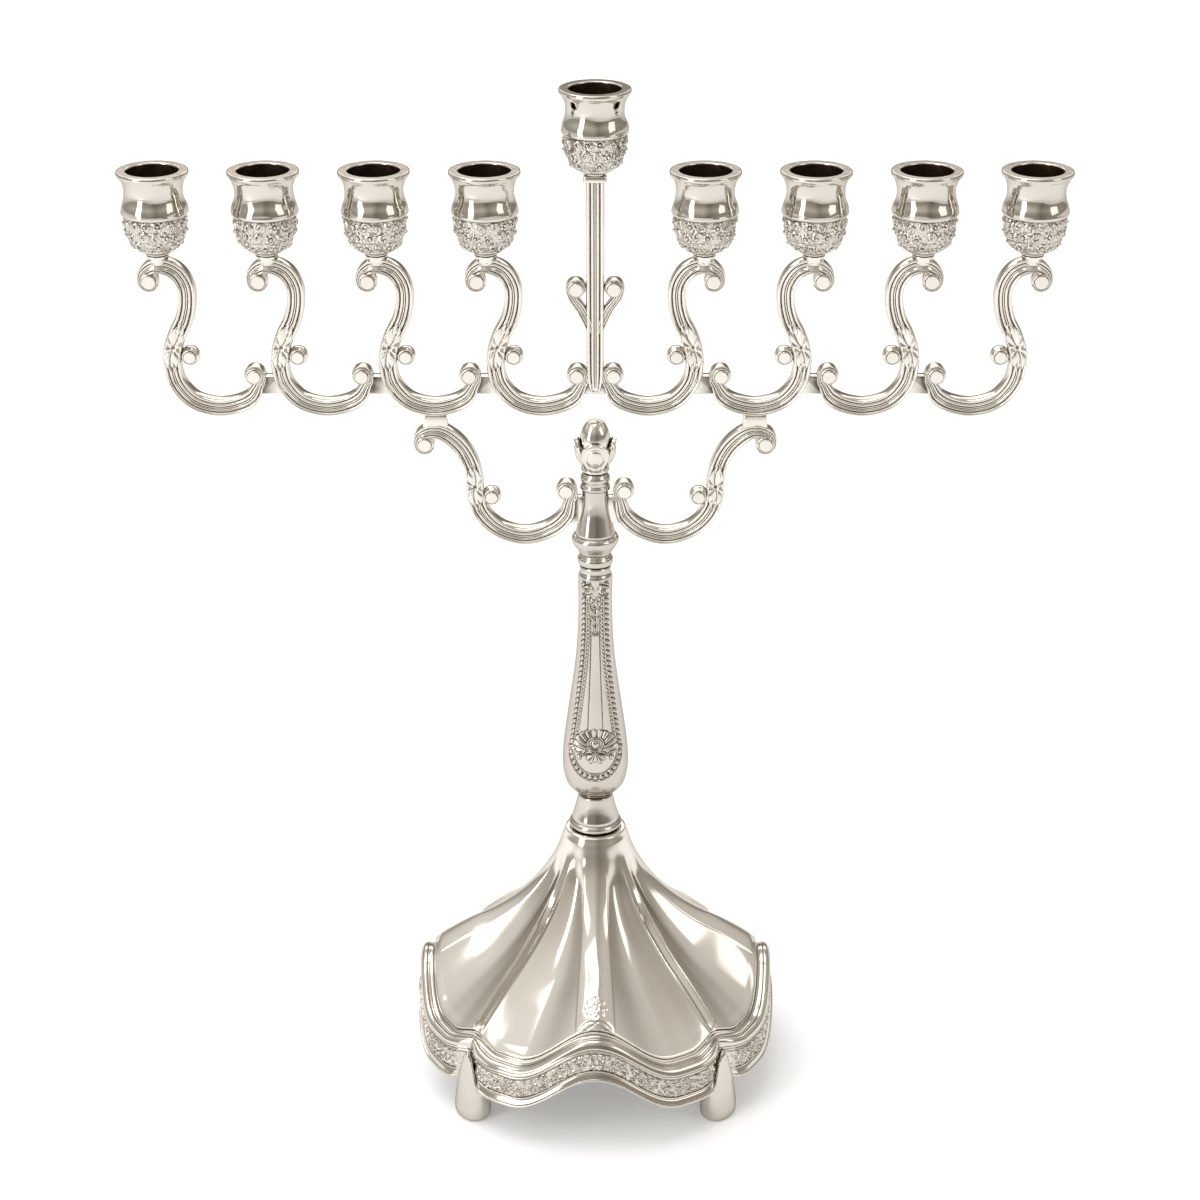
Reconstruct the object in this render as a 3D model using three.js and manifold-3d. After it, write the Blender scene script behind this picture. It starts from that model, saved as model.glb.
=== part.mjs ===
// Nine-branch table candelabrum. Millimetres, +Z up, origin on the table at the centre of the base.
// The four arched sides of the base face +X, +Y, -X and -Y. The arms lie in the XZ plane.
import * as THREE from 'three';
import { mergeVertices } from 'three/addons/utils/BufferGeometryUtils.js';
import Module from 'manifold-3d';

const wasm = await Module();
wasm.setup();

const FIT = 0.3;
const PITCH = 31;
const ARMS_PER_SIDE = 4;

const CUP_HEIGHT = 24.3;
const CUP_BORE_RADIUS = 7.3;
const CUP_BORE_DEPTH = 16;
const CUP_RIM_RADIUS = 10.25;
const CUP_SEAT_Z = 265;
const SHAMASH_SEAT_Z = 288.3;
const CUP_SIDES = 16;

const STUD_RADIUS = 1.6;
const STUD_INTO_CUP = 5;
const STUD_INTO_ARM = 4;

const STRAP_WIDTH = 5.2;
const STRAP_DEPTH = 4.8;
const STRAP_CHAMFER = 1.2;
const VOLUTE_DEPTH = 5.6;
const NECK_WIDTH = 7;

const ROD_RADIUS = 2;
const ROD_BOTTOM_Z = 68;
const ROD_TOP_Z = 206;

const SEAT_Z = 81;
const SEAT_RADIUS = 9.4;
const SHELL = 1.6;
const COLLAR_TOP_Z = 92.4;
const BALUSTER_TOP_Z = 168.9;
const RING_TOP_Z = 172.9;
const HUB_TOP_Z = 198.4;
const FINIAL_TOP_Z = 214.9;
const BALUSTER_MAX_RADIUS = 10.2;

const BASE_RADIUS = 52.3;
const ARCH_HALF_ANGLE = THREE.MathUtils.degToRad(27);
const ARCH_RISE = 12.1;
const SKIRT_Z = 26.5;
const RIM_OVERHANG = 4.6;
const GALLERY_HEIGHT = 11.4;
const GALLERY_WALL = 1.8;
const BASE_STEPS = 64;
const FOOT_WIDTH = 9.4;
const FOOT_THICKNESS = 2;
const FOOT_TOP_Z = 23.6;

const group = new THREE.Group();
const SILVER = 0xc9c3b6;

function add(name, geometry, color = SILVER) {
  const material = new THREE.MeshStandardMaterial({ color, metalness: 1, roughness: 0.25 });
  const mesh = new THREE.Mesh(geometry, material);
  mesh.name = name;
  group.add(mesh);
}

function solid(geometry) {
  const plain = geometry.clone();
  plain.deleteAttribute('normal');
  plain.deleteAttribute('uv');
  const merged = mergeVertices(plain, 1e-4);
  return new wasm.Manifold(new wasm.Mesh({
    numProp: 3,
    vertProperties: new Float32Array(merged.attributes.position.array),
    triVerts: new Uint32Array(merged.index.array),
  }));
}

function geometryOf(manifold) {
  const mesh = manifold.getMesh();
  const geometry = new THREE.BufferGeometry();
  geometry.setAttribute('position', new THREE.BufferAttribute(new Float32Array(mesh.vertProperties), 3));
  geometry.setIndex(new THREE.BufferAttribute(new Uint32Array(mesh.triVerts), 1));
  return geometry;
}

function box(x0, x1, depth, z0, z1) {
  const geometry = new THREE.BoxGeometry(x1 - x0, depth, z1 - z0);
  geometry.translate((x0 + x1) / 2, 0, (z0 + z1) / 2);
  return geometry;
}

function uprightCylinder(radius, z0, z1, x = 0, sides = 16) {
  const geometry = new THREE.CylinderGeometry(radius, radius, z1 - z0, sides);
  geometry.rotateX(Math.PI / 2);
  geometry.translate(x, 0, (z0 + z1) / 2);
  return geometry;
}

function disc(x, z, radius, depth) {
  const geometry = new THREE.CylinderGeometry(radius, radius, depth, 12);
  geometry.translate(x, 0, z);
  return geometry;
}

function turned(points, sides = 24) {
  const profile = points.map(([r, z]) => new THREE.Vector2(r, z));
  const geometry = new THREE.LatheGeometry(profile, sides);
  geometry.rotateX(Math.PI / 2);
  return geometry;
}

// A turned piece with a clear bore for the tie rod: the outline runs upward and closes on itself.
function turnedRing(outline, bore = ROD_RADIUS + FIT) {
  const bottom = outline[0][1];
  const top = outline[outline.length - 1][1];
  return turned([[bore, bottom], ...outline, [bore, top], [bore, bottom]]);
}

function strapSection(grow) {
  const w = STRAP_WIDTH / 2 + grow;
  const d = STRAP_DEPTH / 2 + grow;
  const c = STRAP_CHAMFER;
  const corners = [[d, w - c], [d - c, w], [c - d, w], [-d, w - c], [-d, c - w], [c - d, -w], [d - c, -w], [d, c - w]];
  return new THREE.Shape(corners.map(([a, b]) => new THREE.Vector2(a, b)));
}

function strap(points, steps, grow = 0) {
  const path = new THREE.CatmullRomCurve3(points.map(([x, z]) => new THREE.Vector3(x, 0, z)), false, 'centripetal');
  return new THREE.ExtrudeGeometry(strapSection(grow), { steps, extrudePath: path, bevelEnabled: false });
}

function join(pieces) {
  let whole = solid(pieces[0]);
  for (const piece of pieces.slice(1)) {
    whole = whole.add(solid(piece));
  }
  return whole;
}

// Scroll arm on the -X side. Each x is measured from the axis of the arm's own cup toward the centre.
const ARM_PATH = [
  [0, 261.5], [6.7, 257.1], [7.4, 250.9], [6, 244.4], [2.9, 238.2], [2.5, 231.9],
  [3.8, 225.7], [8.8, 220.4], [15.6, 219], [22.8, 220.8], [26.9, 224.2],
];
const ARM_VOLUTES = [[-3.5, 257.1, 3.1], [25.7, 228.7, 3.3], [7.4, 234.7, 2.8]];
const BRIDGE_Z0 = 220.6;
const BRIDGE_Z1 = 228.4;

function armStrap(cupX, grow) {
  return strap(ARM_PATH.map(([x, z]) => [x + cupX, z]), 15, grow);
}

function postSlot() {
  const half = STRAP_WIDTH / 2 + FIT;
  return box(-half, half, 20, 200, 270);
}

function armSolid(cupX) {
  const volutes = ARM_VOLUTES.map(([x, z, r]) => disc(x + cupX, z, r, VOLUTE_DEPTH));
  const neck = box(cupX - NECK_WIDTH / 2, cupX + NECK_WIDTH / 2, VOLUTE_DEPTH + 1, 257.4, CUP_SEAT_Z - FIT);
  let arm = join([armStrap(cupX, 0), ...volutes, neck]);
  const innermost = cupX === -PITCH;
  const inner = innermost ? 0 : cupX + PITCH + 1.5;
  const bridge = solid(box(cupX + 26.5, inner, STRAP_DEPTH - 0.6, BRIDGE_Z0, BRIDGE_Z1));
  const keepClear = innermost ? postSlot() : armStrap(cupX + PITCH, FIT);
  arm = arm.add(bridge).subtract(solid(keepClear));
  return arm.subtract(solid(uprightCylinder(STUD_RADIUS + FIT, CUP_SEAT_Z - STUD_INTO_ARM - FIT, 270, cupX, 10)));
}

function shamashPost() {
  const shaft = strap([[0, 222], [0, 255], [0, SHAMASH_SEAT_Z - FIT]], 2);
  const pieces = [shaft, box(-NECK_WIDTH / 2, NECK_WIDTH / 2, VOLUTE_DEPTH + 1, 283, SHAMASH_SEAT_Z - FIT)];
  for (const side of [-1, 1]) {
    pieces.push(disc(side * 5.7, 254.8, 3.1, VOLUTE_DEPTH));
    pieces.push(strap([[side * 6.3, 254], [side * 5, 250.4], [side * 1.5, 247]], 5));
  }
  const drill = uprightCylinder(STUD_RADIUS + FIT, SHAMASH_SEAT_Z - STUD_INTO_ARM - FIT, 300, 0, 10);
  return join(pieces).subtract(solid(drill));
}

// Lower arm on the -X side. Each x is a share of the distance out to the saddle; a volute adds its own offset.
const SADDLE_X = 2 * PITCH - 15.6;
const LOWER_ARM_PATH = [
  [0.983, 211.8], [0.843, 206.9], [0.763, 200.4], [0.759, 194.7], [0.737, 187.4],
  [0.625, 181.5], [0.446, 178.6], [0.267, 181.5], [0.153, 188.9],
].map(([share, z]) => [-share * SADDLE_X, z]);
const LOWER_ARM_VOLUTES = [[0.983, -4, 207.7, 3.1], [0.153, -3.1, 192.5, 3.2], [0.737, 3.9, 191.2, 2.8]]
  .map(([share, offset, z, r]) => [offset - share * SADDLE_X, z, r]);
const LOWER_ARM_TOP_Z = LOWER_ARM_PATH[0][1] + 0.82 * STRAP_WIDTH / 2;

function lowerArmSolid() {
  const volutes = LOWER_ARM_VOLUTES.map(([x, z, r]) => disc(x, z, r, VOLUTE_DEPTH));
  const lug = box(LOWER_ARM_PATH[8][0] - 1, -2, STRAP_DEPTH - 0.6, 184, 190);
  const link = box(LOWER_ARM_PATH[0][0] - 4.4, LOWER_ARM_PATH[0][0] + 0.6, STRAP_DEPTH, 207, 212);
  const hubClearance = turned(clearance(HUB_PROFILE));
  return join([strap(LOWER_ARM_PATH, 14), ...volutes, lug, link]).subtract(solid(hubClearance));
}

function saddleSolid() {
  const block = box(-SADDLE_X - 4.6, -SADDLE_X + 5.4, STRAP_DEPTH + 1.2, LOWER_ARM_TOP_Z + FIT, 217.2);
  return solid(block).subtract(solid(armStrap(-2 * PITCH, FIT)));
}

// Turned outlines, radius then height, from the bottom up.
const HUB_PROFILE = [
  [5, 173.2], [6.8, 176.4], [7.1, 178], [6.3, 179], [5.2, 182.5], [4, 188], [3.6, 191.5],
  [4.4, 193.7], [4.4, 197.6], [3.8, HUB_TOP_Z],
];
const RING_PROFILE = [[4.6, BALUSTER_TOP_Z + FIT], [5.4, 170.1], [5.4, 171.6], [4.8, RING_TOP_Z]];
const BALUSTER_PROFILE = [
  [5.3, COLLAR_TOP_Z + FIT], [6.4, 94], [9.05, 96.8], [10, 100.4], [BALUSTER_MAX_RADIUS, 103.3], [9.5, 113.3],
  [7.7, 126.3], [5.9, 139], [5.2, 152], [5.15, 165], [4.55, 167.4], [4.8, BALUSTER_TOP_Z],
];
const COLLAR_PROFILE = [
  [7.2, SEAT_Z + FIT], [8.2, 82.2], [8, 83.2], [6.4, 85.4], [5.5, 89], [5.3, COLLAR_TOP_Z],
];

function clearance(outline) {
  const grown = outline.map(([r, z]) => [r + FIT, z]);
  return [[0, grown[0][1] - FIT], ...grown, [0, grown[grown.length - 1][1] + FIT]];
}

function finialGeometry() {
  const seat = HUB_TOP_Z + FIT;
  const bore = ROD_RADIUS + FIT;
  return turned([
    [0, ROD_TOP_Z + FIT], [bore, ROD_TOP_Z + FIT], [bore, seat], [4, seat], [4.4, 200.6], [5.6, 204],
    [6, 207.8], [4.9, 209.6], [4.1, 211.6], [2.2, 214], [0, FINIAL_TOP_Z],
  ], 20);
}

function cupGeometry(x, z) {
  const hole = STUD_RADIUS + FIT;
  const holeTop = STUD_INTO_CUP + FIT;
  const floor = CUP_HEIGHT - CUP_BORE_DEPTH;
  const geometry = turned([
    [0, holeTop], [hole, holeTop], [hole, 0], [3.75, 0], [4.1, 1.6], [7.2, 2.8], [9, 5.6],
    [9.25, 11.9], [9.7, 12.3], [8.45, 17.9], [CUP_RIM_RADIUS, CUP_HEIGHT - 1.2], [10, CUP_HEIGHT],
    [CUP_BORE_RADIUS, CUP_HEIGHT], [CUP_BORE_RADIUS, floor], [0, floor],
  ], CUP_SIDES);
  geometry.translate(x, 0, z);
  return geometry;
}

// Angle from the middle of the nearest side of the base: 0 there, an eighth of a turn at each corner.
function foldAngle(phi) {
  const quarter = Math.PI / 2;
  const turn = phi + quarter / 2;
  return Math.abs(turn - Math.floor(turn / quarter) * quarter - quarter / 2);
}

function archShare(phi) {
  const fold = foldAngle(phi);
  return fold < ARCH_HALF_ANGLE ? 0.5 * (1 + Math.cos(Math.PI * fold / ARCH_HALF_ANGLE)) : 0;
}

function cornerShare(phi) {
  return THREE.MathUtils.smoothstep(foldAngle(phi), Math.PI / 5.3, Math.PI / 4);
}

function notchShare(phi) {
  const away = (Math.PI / 4 - foldAngle(phi)) / THREE.MathUtils.degToRad(9);
  return THREE.MathUtils.clamp(1.6 * (1 - away * away), 0, 1);
}

const skirtRadius = (phi) => BASE_RADIUS - 1.9 * archShare(phi) - 1.3 * cornerShare(phi);
const skirtZ = (phi) => SKIRT_Z + ARCH_RISE * archShare(phi) + 2.7 * cornerShare(phi);
const rimZ = (phi) => 23 + ARCH_RISE * archShare(phi) + 1.2 * cornerShare(phi);

// Closed ring whose cross-section, radius and height, may change with the angle round the axis.
function sweptRing(sectionAt, steps) {
  const positions = [];
  const index = [];
  const count = sectionAt(0).length;
  for (let i = 0; i < steps; i += 1) {
    const phi = 2 * Math.PI * i / steps;
    for (const [r, z] of sectionAt(phi)) {
      positions.push(r * Math.cos(phi), r * Math.sin(phi), z);
    }
  }
  for (let i = 0; i < steps; i += 1) {
    const next = (i + 1) % steps;
    for (let k = 0; k < count; k += 1) {
      const up = (k + 1) % count;
      const a = i * count + k;
      const b = next * count + k;
      const c = next * count + up;
      const d = i * count + up;
      index.push(a, b, c, a, c, d);
    }
  }
  const geometry = new THREE.BufferGeometry();
  geometry.setAttribute('position', new THREE.Float32BufferAttribute(positions, 3));
  geometry.setIndex(index);
  return geometry;
}

// Canopy outline at the middle of a side, from the seat down, with the share of the edge shape it takes.
const CANOPY = [
  [13.8, 69, 0], [18, 62.4, 0.06], [23.8, 55.7, 0.18], [31.4, 50, 0.4], [40, 46, 0.68], [47.5, 41.4, 0.92], [50.4, 38.6, 1],
];

function canopySection(phi) {
  const outer = CANOPY.map(([r, z, share]) => [
    r + share * (skirtRadius(phi) - 50.4),
    z + share * (skirtZ(phi) - 38.6),
  ]);
  const inner = outer.map(([r, z], i) => (i === outer.length - 1 ? [r - 1.9, z] : [r - 1.2, z - 1.4]));
  const bore = ROD_RADIUS + FIT;
  return [
    [bore, SEAT_Z - SHELL - 0.4], [7.2, SEAT_Z - SHELL - 0.4], [8.7, 77.4], ...inner, ...outer.reverse(),
    [10.1, 78.7], [SEAT_RADIUS, 79.6], [SEAT_RADIUS, SEAT_Z], [bore, SEAT_Z],
  ];
}

function gallerySection(phi) {
  const inside = skirtRadius(phi);
  const notch = notchShare(phi);
  const face = inside + RIM_OVERHANG - 1.8 * notch;
  const foot = face + 1.2 * (1 - notch);
  const ledge = skirtZ(phi) - 1.7 * FIT;
  const rim = rimZ(phi);
  const low = rim - GALLERY_HEIGHT;
  const back = face - GALLERY_WALL;
  return [
    [back, low], [foot, low], [foot, low + 2.4], [face - 0.5, low + 3.4], [face - 0.5, rim - 1.6], [face, rim - 1],
    [face, rim], [inside + 0.9, ledge], [inside - 2.5, ledge], [inside - 2.5, ledge - 1.6], [back, rim - 1.6],
  ];
}

function footSolid(quarterTurn) {
  const half = FOOT_WIDTH / 2;
  const outline = [
    [-half, 0], [half, 0], [half + 0.1, 3], [half - 0.5, 9], [half - 1.3, 14], [1.6, 20], [0, FOOT_TOP_Z],
    [-1.6, 20], [1.3 - half, 14], [0.5 - half, 9], [-half - 0.1, 3],
  ];
  const face = skirtRadius(Math.PI / 4) + RIM_OVERHANG - 1.8 + FIT + 0.6;
  const shape = new THREE.Shape(outline.map(([t, z]) => new THREE.Vector2(t, z)));
  const tongue = new THREE.ExtrudeGeometry(shape, { depth: FOOT_THICKNESS, bevelEnabled: false });
  tongue.rotateX(Math.PI / 2);
  tongue.translate(0, -face, 0);
  const top = rimZ(Math.PI / 4) - GALLERY_HEIGHT - 3 * FIT;
  const heel = new THREE.BoxGeometry(FOOT_WIDTH - 0.6, 4, top);
  heel.translate(0, -face + 1.9, top / 2);
  const foot = join([tongue, heel]);
  return foot.rotate([0, 0, 45 + 90 * quarterTurn]);
}

function hexNut() {
  const nut = solid(uprightCylinder(4.6, 72.6, 76.9, 0, 6));
  return nut.subtract(solid(uprightCylinder(ROD_RADIUS + FIT, 60, 90)));
}

function mirrored(manifold) {
  return manifold.mirror([1, 0, 0]);
}

add('base_body', sweptRing(canopySection, BASE_STEPS));
add('base_gallery', sweptRing(gallerySection, BASE_STEPS));
const FOOT_NAMES = ['foot_front_right', 'foot_back_right', 'foot_back_left', 'foot_front_left'];
FOOT_NAMES.forEach((name, i) => add(name, geometryOf(footSolid(i))));

add('base_washer', turnedRing([[6.4, 77.2], [6.4, 78.7]]), 0x8f8a80);
add('tie_nut', geometryOf(hexNut()), 0x8f8a80);
add('tie_rod', uprightCylinder(ROD_RADIUS, ROD_BOTTOM_Z, ROD_TOP_Z), 0x8f8a80);
add('stem_collar', turnedRing(COLLAR_PROFILE));
add('stem_baluster', turnedRing(BALUSTER_PROFILE));
add('stem_ring', turnedRing(RING_PROFILE));
add('hub', turnedRing(HUB_PROFILE));
add('finial', finialGeometry());

const lowerArm = lowerArmSolid();
add('lower_arm_left', geometryOf(lowerArm));
add('lower_arm_right', geometryOf(mirrored(lowerArm)));
const saddle = saddleSolid();
add('saddle_left', geometryOf(saddle));
add('saddle_right', geometryOf(mirrored(saddle)));

add('shamash_post', geometryOf(shamashPost()));
add('shamash_cup', cupGeometry(0, SHAMASH_SEAT_Z));
add('shamash_stud', uprightCylinder(STUD_RADIUS, SHAMASH_SEAT_Z - STUD_INTO_ARM, SHAMASH_SEAT_Z + STUD_INTO_CUP, 0, 10));

for (let i = 1; i <= ARMS_PER_SIDE; i += 1) {
  const arm = armSolid(-i * PITCH);
  add(`arm_left_${i}`, geometryOf(arm));
  add(`arm_right_${i}`, geometryOf(mirrored(arm)));
  for (const [side, name] of [[-1, 'left'], [1, 'right']]) {
    const x = side * i * PITCH;
    add(`cup_${name}_${i}`, cupGeometry(x, CUP_SEAT_Z));
    add(`stud_${name}_${i}`, uprightCylinder(STUD_RADIUS, CUP_SEAT_Z - STUD_INTO_ARM, CUP_SEAT_Z + STUD_INTO_CUP, x, 10));
  }
}

export default group;
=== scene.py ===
import math
import bmesh
import bpy
import numpy as np
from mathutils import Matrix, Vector


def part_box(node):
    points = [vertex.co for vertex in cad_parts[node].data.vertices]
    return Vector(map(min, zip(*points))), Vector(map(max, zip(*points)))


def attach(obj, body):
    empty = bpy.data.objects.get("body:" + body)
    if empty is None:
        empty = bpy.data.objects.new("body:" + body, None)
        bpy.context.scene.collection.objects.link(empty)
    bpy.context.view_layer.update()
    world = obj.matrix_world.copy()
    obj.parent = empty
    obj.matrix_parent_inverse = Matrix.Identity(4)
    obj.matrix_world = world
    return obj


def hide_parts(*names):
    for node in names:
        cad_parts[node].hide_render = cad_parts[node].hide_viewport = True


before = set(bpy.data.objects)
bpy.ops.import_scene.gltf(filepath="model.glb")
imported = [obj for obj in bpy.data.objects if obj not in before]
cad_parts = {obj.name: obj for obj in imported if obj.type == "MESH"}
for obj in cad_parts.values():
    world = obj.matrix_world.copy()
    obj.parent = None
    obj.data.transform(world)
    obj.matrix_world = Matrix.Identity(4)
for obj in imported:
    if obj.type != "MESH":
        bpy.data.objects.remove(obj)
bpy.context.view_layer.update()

MM = 0.001
PITCH = 31.0
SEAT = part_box("cup_left_1")[0].z / MM
SHAMASH_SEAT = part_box("shamash_cup")[0].z / MM
CUP_H = (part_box("cup_left_1")[1].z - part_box("cup_left_1")[0].z) / MM
TAU = 2 * math.pi


# ---------------------------------------------------------------- materials

def new_material(name):
    mat = bpy.data.materials.new(name)
    mat.use_nodes = True
    return mat, mat.node_tree.nodes, mat.node_tree.links


def math_node(nodes, links, op, a, b, clamp=False):
    n = nodes.new("ShaderNodeMath")
    n.operation = op
    n.use_clamp = clamp
    for i, v in enumerate((a, b)):
        if isinstance(v, (int, float)):
            n.inputs[i].default_value = v
        else:
            links.new(v, n.inputs[i])
    return n.outputs[0]


def noise_node(nodes, links, coord, scale, detail=4.0, rough=0.55):
    n = nodes.new("ShaderNodeTexNoise")
    n.inputs["Scale"].default_value = scale
    n.inputs["Detail"].default_value = detail
    n.inputs["Roughness"].default_value = rough
    links.new(coord, n.inputs["Vector"])
    return n.outputs["Fac"]


def ramp_node(nodes, links, fac, stops):
    n = nodes.new("ShaderNodeValToRGB")
    el = n.color_ramp.elements
    while len(el) < len(stops):
        el.new(0.5)
    for e, (p, c) in zip(el, stops):
        e.position = p
        e.color = (*c, 1)
    links.new(fac, n.inputs["Fac"])
    return n.outputs["Color"]


def mix_color(nodes, links, fac, a, b, mode="MIX"):
    n = nodes.new("ShaderNodeMix")
    n.data_type = "RGBA"
    n.blend_type = mode
    if isinstance(fac, (int, float)):
        n.inputs[0].default_value = fac
    else:
        links.new(fac, n.inputs[0])
    for socket, v in ((n.inputs[6], a), (n.inputs[7], b)):
        if isinstance(v, tuple):
            socket.default_value = (*v, 1)
        else:
            links.new(v, socket)
    return n.outputs[2]


EDGE_TINT = (0.60, 0.57, 0.53)


def silver(name, light=(0.74, 0.705, 0.65), warm=(0.67, 0.625, 0.56), recess_shade_color=(0.13, 0.105, 0.08),
           rough=0.09, rough_var=0.05, cavity=1.0, bump=0.02, bump_scale=260.0, wave=0.0):
    """Plated metal: drifting tone, painted shade in the recesses, which are also duller, slightly lighter proud edges,
    fine cast unevenness.
    """
    mat, nodes, links = new_material(name)
    bsdf = nodes["Principled BSDF"]
    bsdf.inputs["Metallic"].default_value = 1.0
    bsdf.inputs["Specular Tint"].default_value = (*EDGE_TINT, 1)
    coord = nodes.new("ShaderNodeTexCoord").outputs["Object"]
    drift = noise_node(nodes, links, coord, 22.0, 3.0)
    fine = noise_node(nodes, links, coord, 420.0, 5.0, 0.6)
    tone = ramp_node(nodes, links, drift, [(0.3, warm), (0.68, light)])
    # painted shade: recesses found from the surface's curvature are mixed toward a dark brown-grey
    attr = nodes.new("ShaderNodeAttribute")
    attr.attribute_name = "cavity"
    recess = math_node(nodes, links, "MULTIPLY", attr.outputs["Fac"], cavity, True)
    painted_recess_shade = math_node(nodes, links, "MULTIPLY", recess, math_node(nodes, links, "ADD", fine, 0.45), True)
    base = mix_color(nodes, links, painted_recess_shade, tone, recess_shade_color)
    # proud edges are mixed toward a lighter colour
    edge = nodes.new("ShaderNodeAttribute")
    edge.attribute_name = "edge"
    proud_edge_lighten = math_node(nodes, links, "MULTIPLY", edge.outputs["Fac"], 0.35, True)
    base = mix_color(nodes, links, proud_edge_lighten, base, (0.82, 0.80, 0.76))
    # the marked inside of the cups is mixed to a near-black, duller colour
    inner = nodes.new("ShaderNodeAttribute")
    inner.attribute_name = "inner"
    cup_inside_dark = ramp_node(nodes, links, fine, [(0.3, (0.045, 0.026, 0.016)), (0.7, (0.11, 0.07, 0.045))])
    base = mix_color(nodes, links, inner.outputs["Fac"], base, cup_inside_dark)
    links.new(base, bsdf.inputs["Base Color"])
    r = math_node(nodes, links, "MULTIPLY", drift, rough_var)
    r = math_node(nodes, links, "ADD", r, rough - rough_var * 0.5)
    r = math_node(nodes, links, "ADD", r, math_node(nodes, links, "MULTIPLY", recess, 0.25))
    r = math_node(nodes, links, "ADD", r, math_node(nodes, links, "MULTIPLY", inner.outputs["Fac"], 0.4), True)
    links.new(r, bsdf.inputs["Roughness"])
    b = nodes.new("ShaderNodeBump")
    b.inputs["Strength"].default_value = 1.0
    b.inputs["Distance"].default_value = bump * MM
    h = noise_node(nodes, links, coord, bump_scale, 3.0)
    links.new(h, b.inputs["Height"])
    links.new(b.outputs["Normal"], bsdf.inputs["Normal"])
    return mat


def steel(name):
    mat, nodes, links = new_material(name)
    bsdf = nodes["Principled BSDF"]
    bsdf.inputs["Metallic"].default_value = 1.0
    coord = nodes.new("ShaderNodeTexCoord").outputs["Object"]
    n = noise_node(nodes, links, coord, 300.0, 5.0)
    links.new(ramp_node(nodes, links, n, [(0.3, (0.42, 0.40, 0.36)), (0.7, (0.66, 0.64, 0.60))]), bsdf.inputs["Base Color"])
    links.new(math_node(nodes, links, "ADD", math_node(nodes, links, "MULTIPLY", n, 0.2), 0.25), bsdf.inputs["Roughness"])
    return mat


# painted light and shade: the parts share one silver plate, yet each copy below is made lighter or darker to stand in
# for how much light that part catches
M_CANOPY = silver("silver_canopy", light=(0.81, 0.78, 0.73), warm=(0.74, 0.70, 0.635), rough=0.13, cavity=0.7, bump=0.012, bump_scale=70.0)
M_GALLERY = silver("silver_gallery", light=(0.66, 0.625, 0.57), warm=(0.58, 0.54, 0.48), rough=0.12, cavity=1.5, bump=0.01)
M_FOOT = silver("silver_foot", light=(0.64, 0.605, 0.55), warm=(0.56, 0.52, 0.46), rough=0.12, cavity=0.8, bump=0.02)
M_STEM = silver("silver_stem", light=(0.585, 0.555, 0.51), warm=(0.51, 0.475, 0.425), rough=0.11, cavity=1.3, bump=0.014)
M_FINIAL = silver("silver_finial", rough=0.10, cavity=1.0, bump=0.012)
M_ARM = silver("silver_arm", light=(0.79, 0.76, 0.71), warm=(0.72, 0.68, 0.62), rough=0.10, cavity=1.15, bump=0.012)
M_CUP = silver("silver_cup", light=(0.67, 0.64, 0.59), warm=(0.60, 0.565, 0.51), rough=0.08, cavity=1.6, bump=0.012)
M_STEEL = steel("zinc_steel")


# ---------------------------------------------------------------- mesh tools

def curve_points(pts, step):
    """Centripetal Catmull-Rom through the points, resampled at about step; any number of columns."""
    p = np.array(pts, float)
    p = np.vstack([2 * p[0] - p[1], p, 2 * p[-1] - p[-2]])
    out = []
    for i in range(1, len(p) - 2):
        p0, p1, p2, p3 = p[i - 1], p[i], p[i + 1], p[i + 2]
        d = [max(np.linalg.norm((b - a)[:2]) ** 0.5, 1e-4) for a, b in ((p0, p1), (p1, p2), (p2, p3))]
        t0, t1 = 0.0, d[0]
        t2 = t1 + d[1]
        t3 = t2 + d[2]
        n = max(2, int(np.linalg.norm((p2 - p1)[:2]) / step))
        t = np.linspace(t1, t2, n, endpoint=False)[:, None]
        a1 = (t1 - t) / (t1 - t0) * p0 + (t - t0) / (t1 - t0) * p1
        a2 = (t2 - t) / (t2 - t1) * p1 + (t - t1) / (t2 - t1) * p2
        a3 = (t3 - t) / (t3 - t2) * p2 + (t - t2) / (t3 - t2) * p3
        b1 = (t2 - t) / (t2 - t0) * a1 + (t - t0) / (t2 - t0) * a2
        b2 = (t3 - t) / (t3 - t1) * a2 + (t - t1) / (t3 - t1) * a3
        out.append((t2 - t) / (t2 - t1) * b1 + (t - t1) / (t2 - t1) * b2)
    out.append(p[-2][None, :])
    return np.vstack(out)


def rounded(pts, radius=0.3, n=4):
    """Polyline with each corner replaced by a small arc; a point may carry its own radius as a third value."""
    q = [np.array(p[:2], float) for p in pts]
    rad = [p[2] if len(p) > 2 else radius for p in pts]
    out = [q[0]]
    for i in range(1, len(q) - 1):
        a, b, c = q[i - 1], q[i], q[i + 1]
        la, lc = np.linalg.norm(a - b), np.linalg.norm(c - b)
        d = min(rad[i], 0.48 * la, 0.48 * lc)
        if d < 1e-3:
            out.append(b)
            continue
        s, e = b + (a - b) / la * d, b + (c - b) / lc * d
        for t in np.linspace(0, 1, n + 1):
            out.append((1 - t) ** 2 * s + 2 * t * (1 - t) * b + t * t * e)
    out.append(q[-1])
    return np.array(out)


def resample(line, step):
    line = np.array(line, float)
    seg = np.linalg.norm(np.diff(line, axis=0), axis=1)
    keep = np.concatenate([[True], seg > 1e-6])
    line = line[keep]
    seg = np.linalg.norm(np.diff(line, axis=0), axis=1)
    s = np.concatenate([[0], np.cumsum(seg)])
    extra = np.arange(0, s[-1], step)
    at = np.unique(np.round(np.concatenate([s, extra]), 4))
    near = np.concatenate([[True], np.diff(at) > 0.02])
    at = at[near]
    return np.stack([np.interp(at, s, line[:, k]) for k in range(line.shape[1])], 1)


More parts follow.
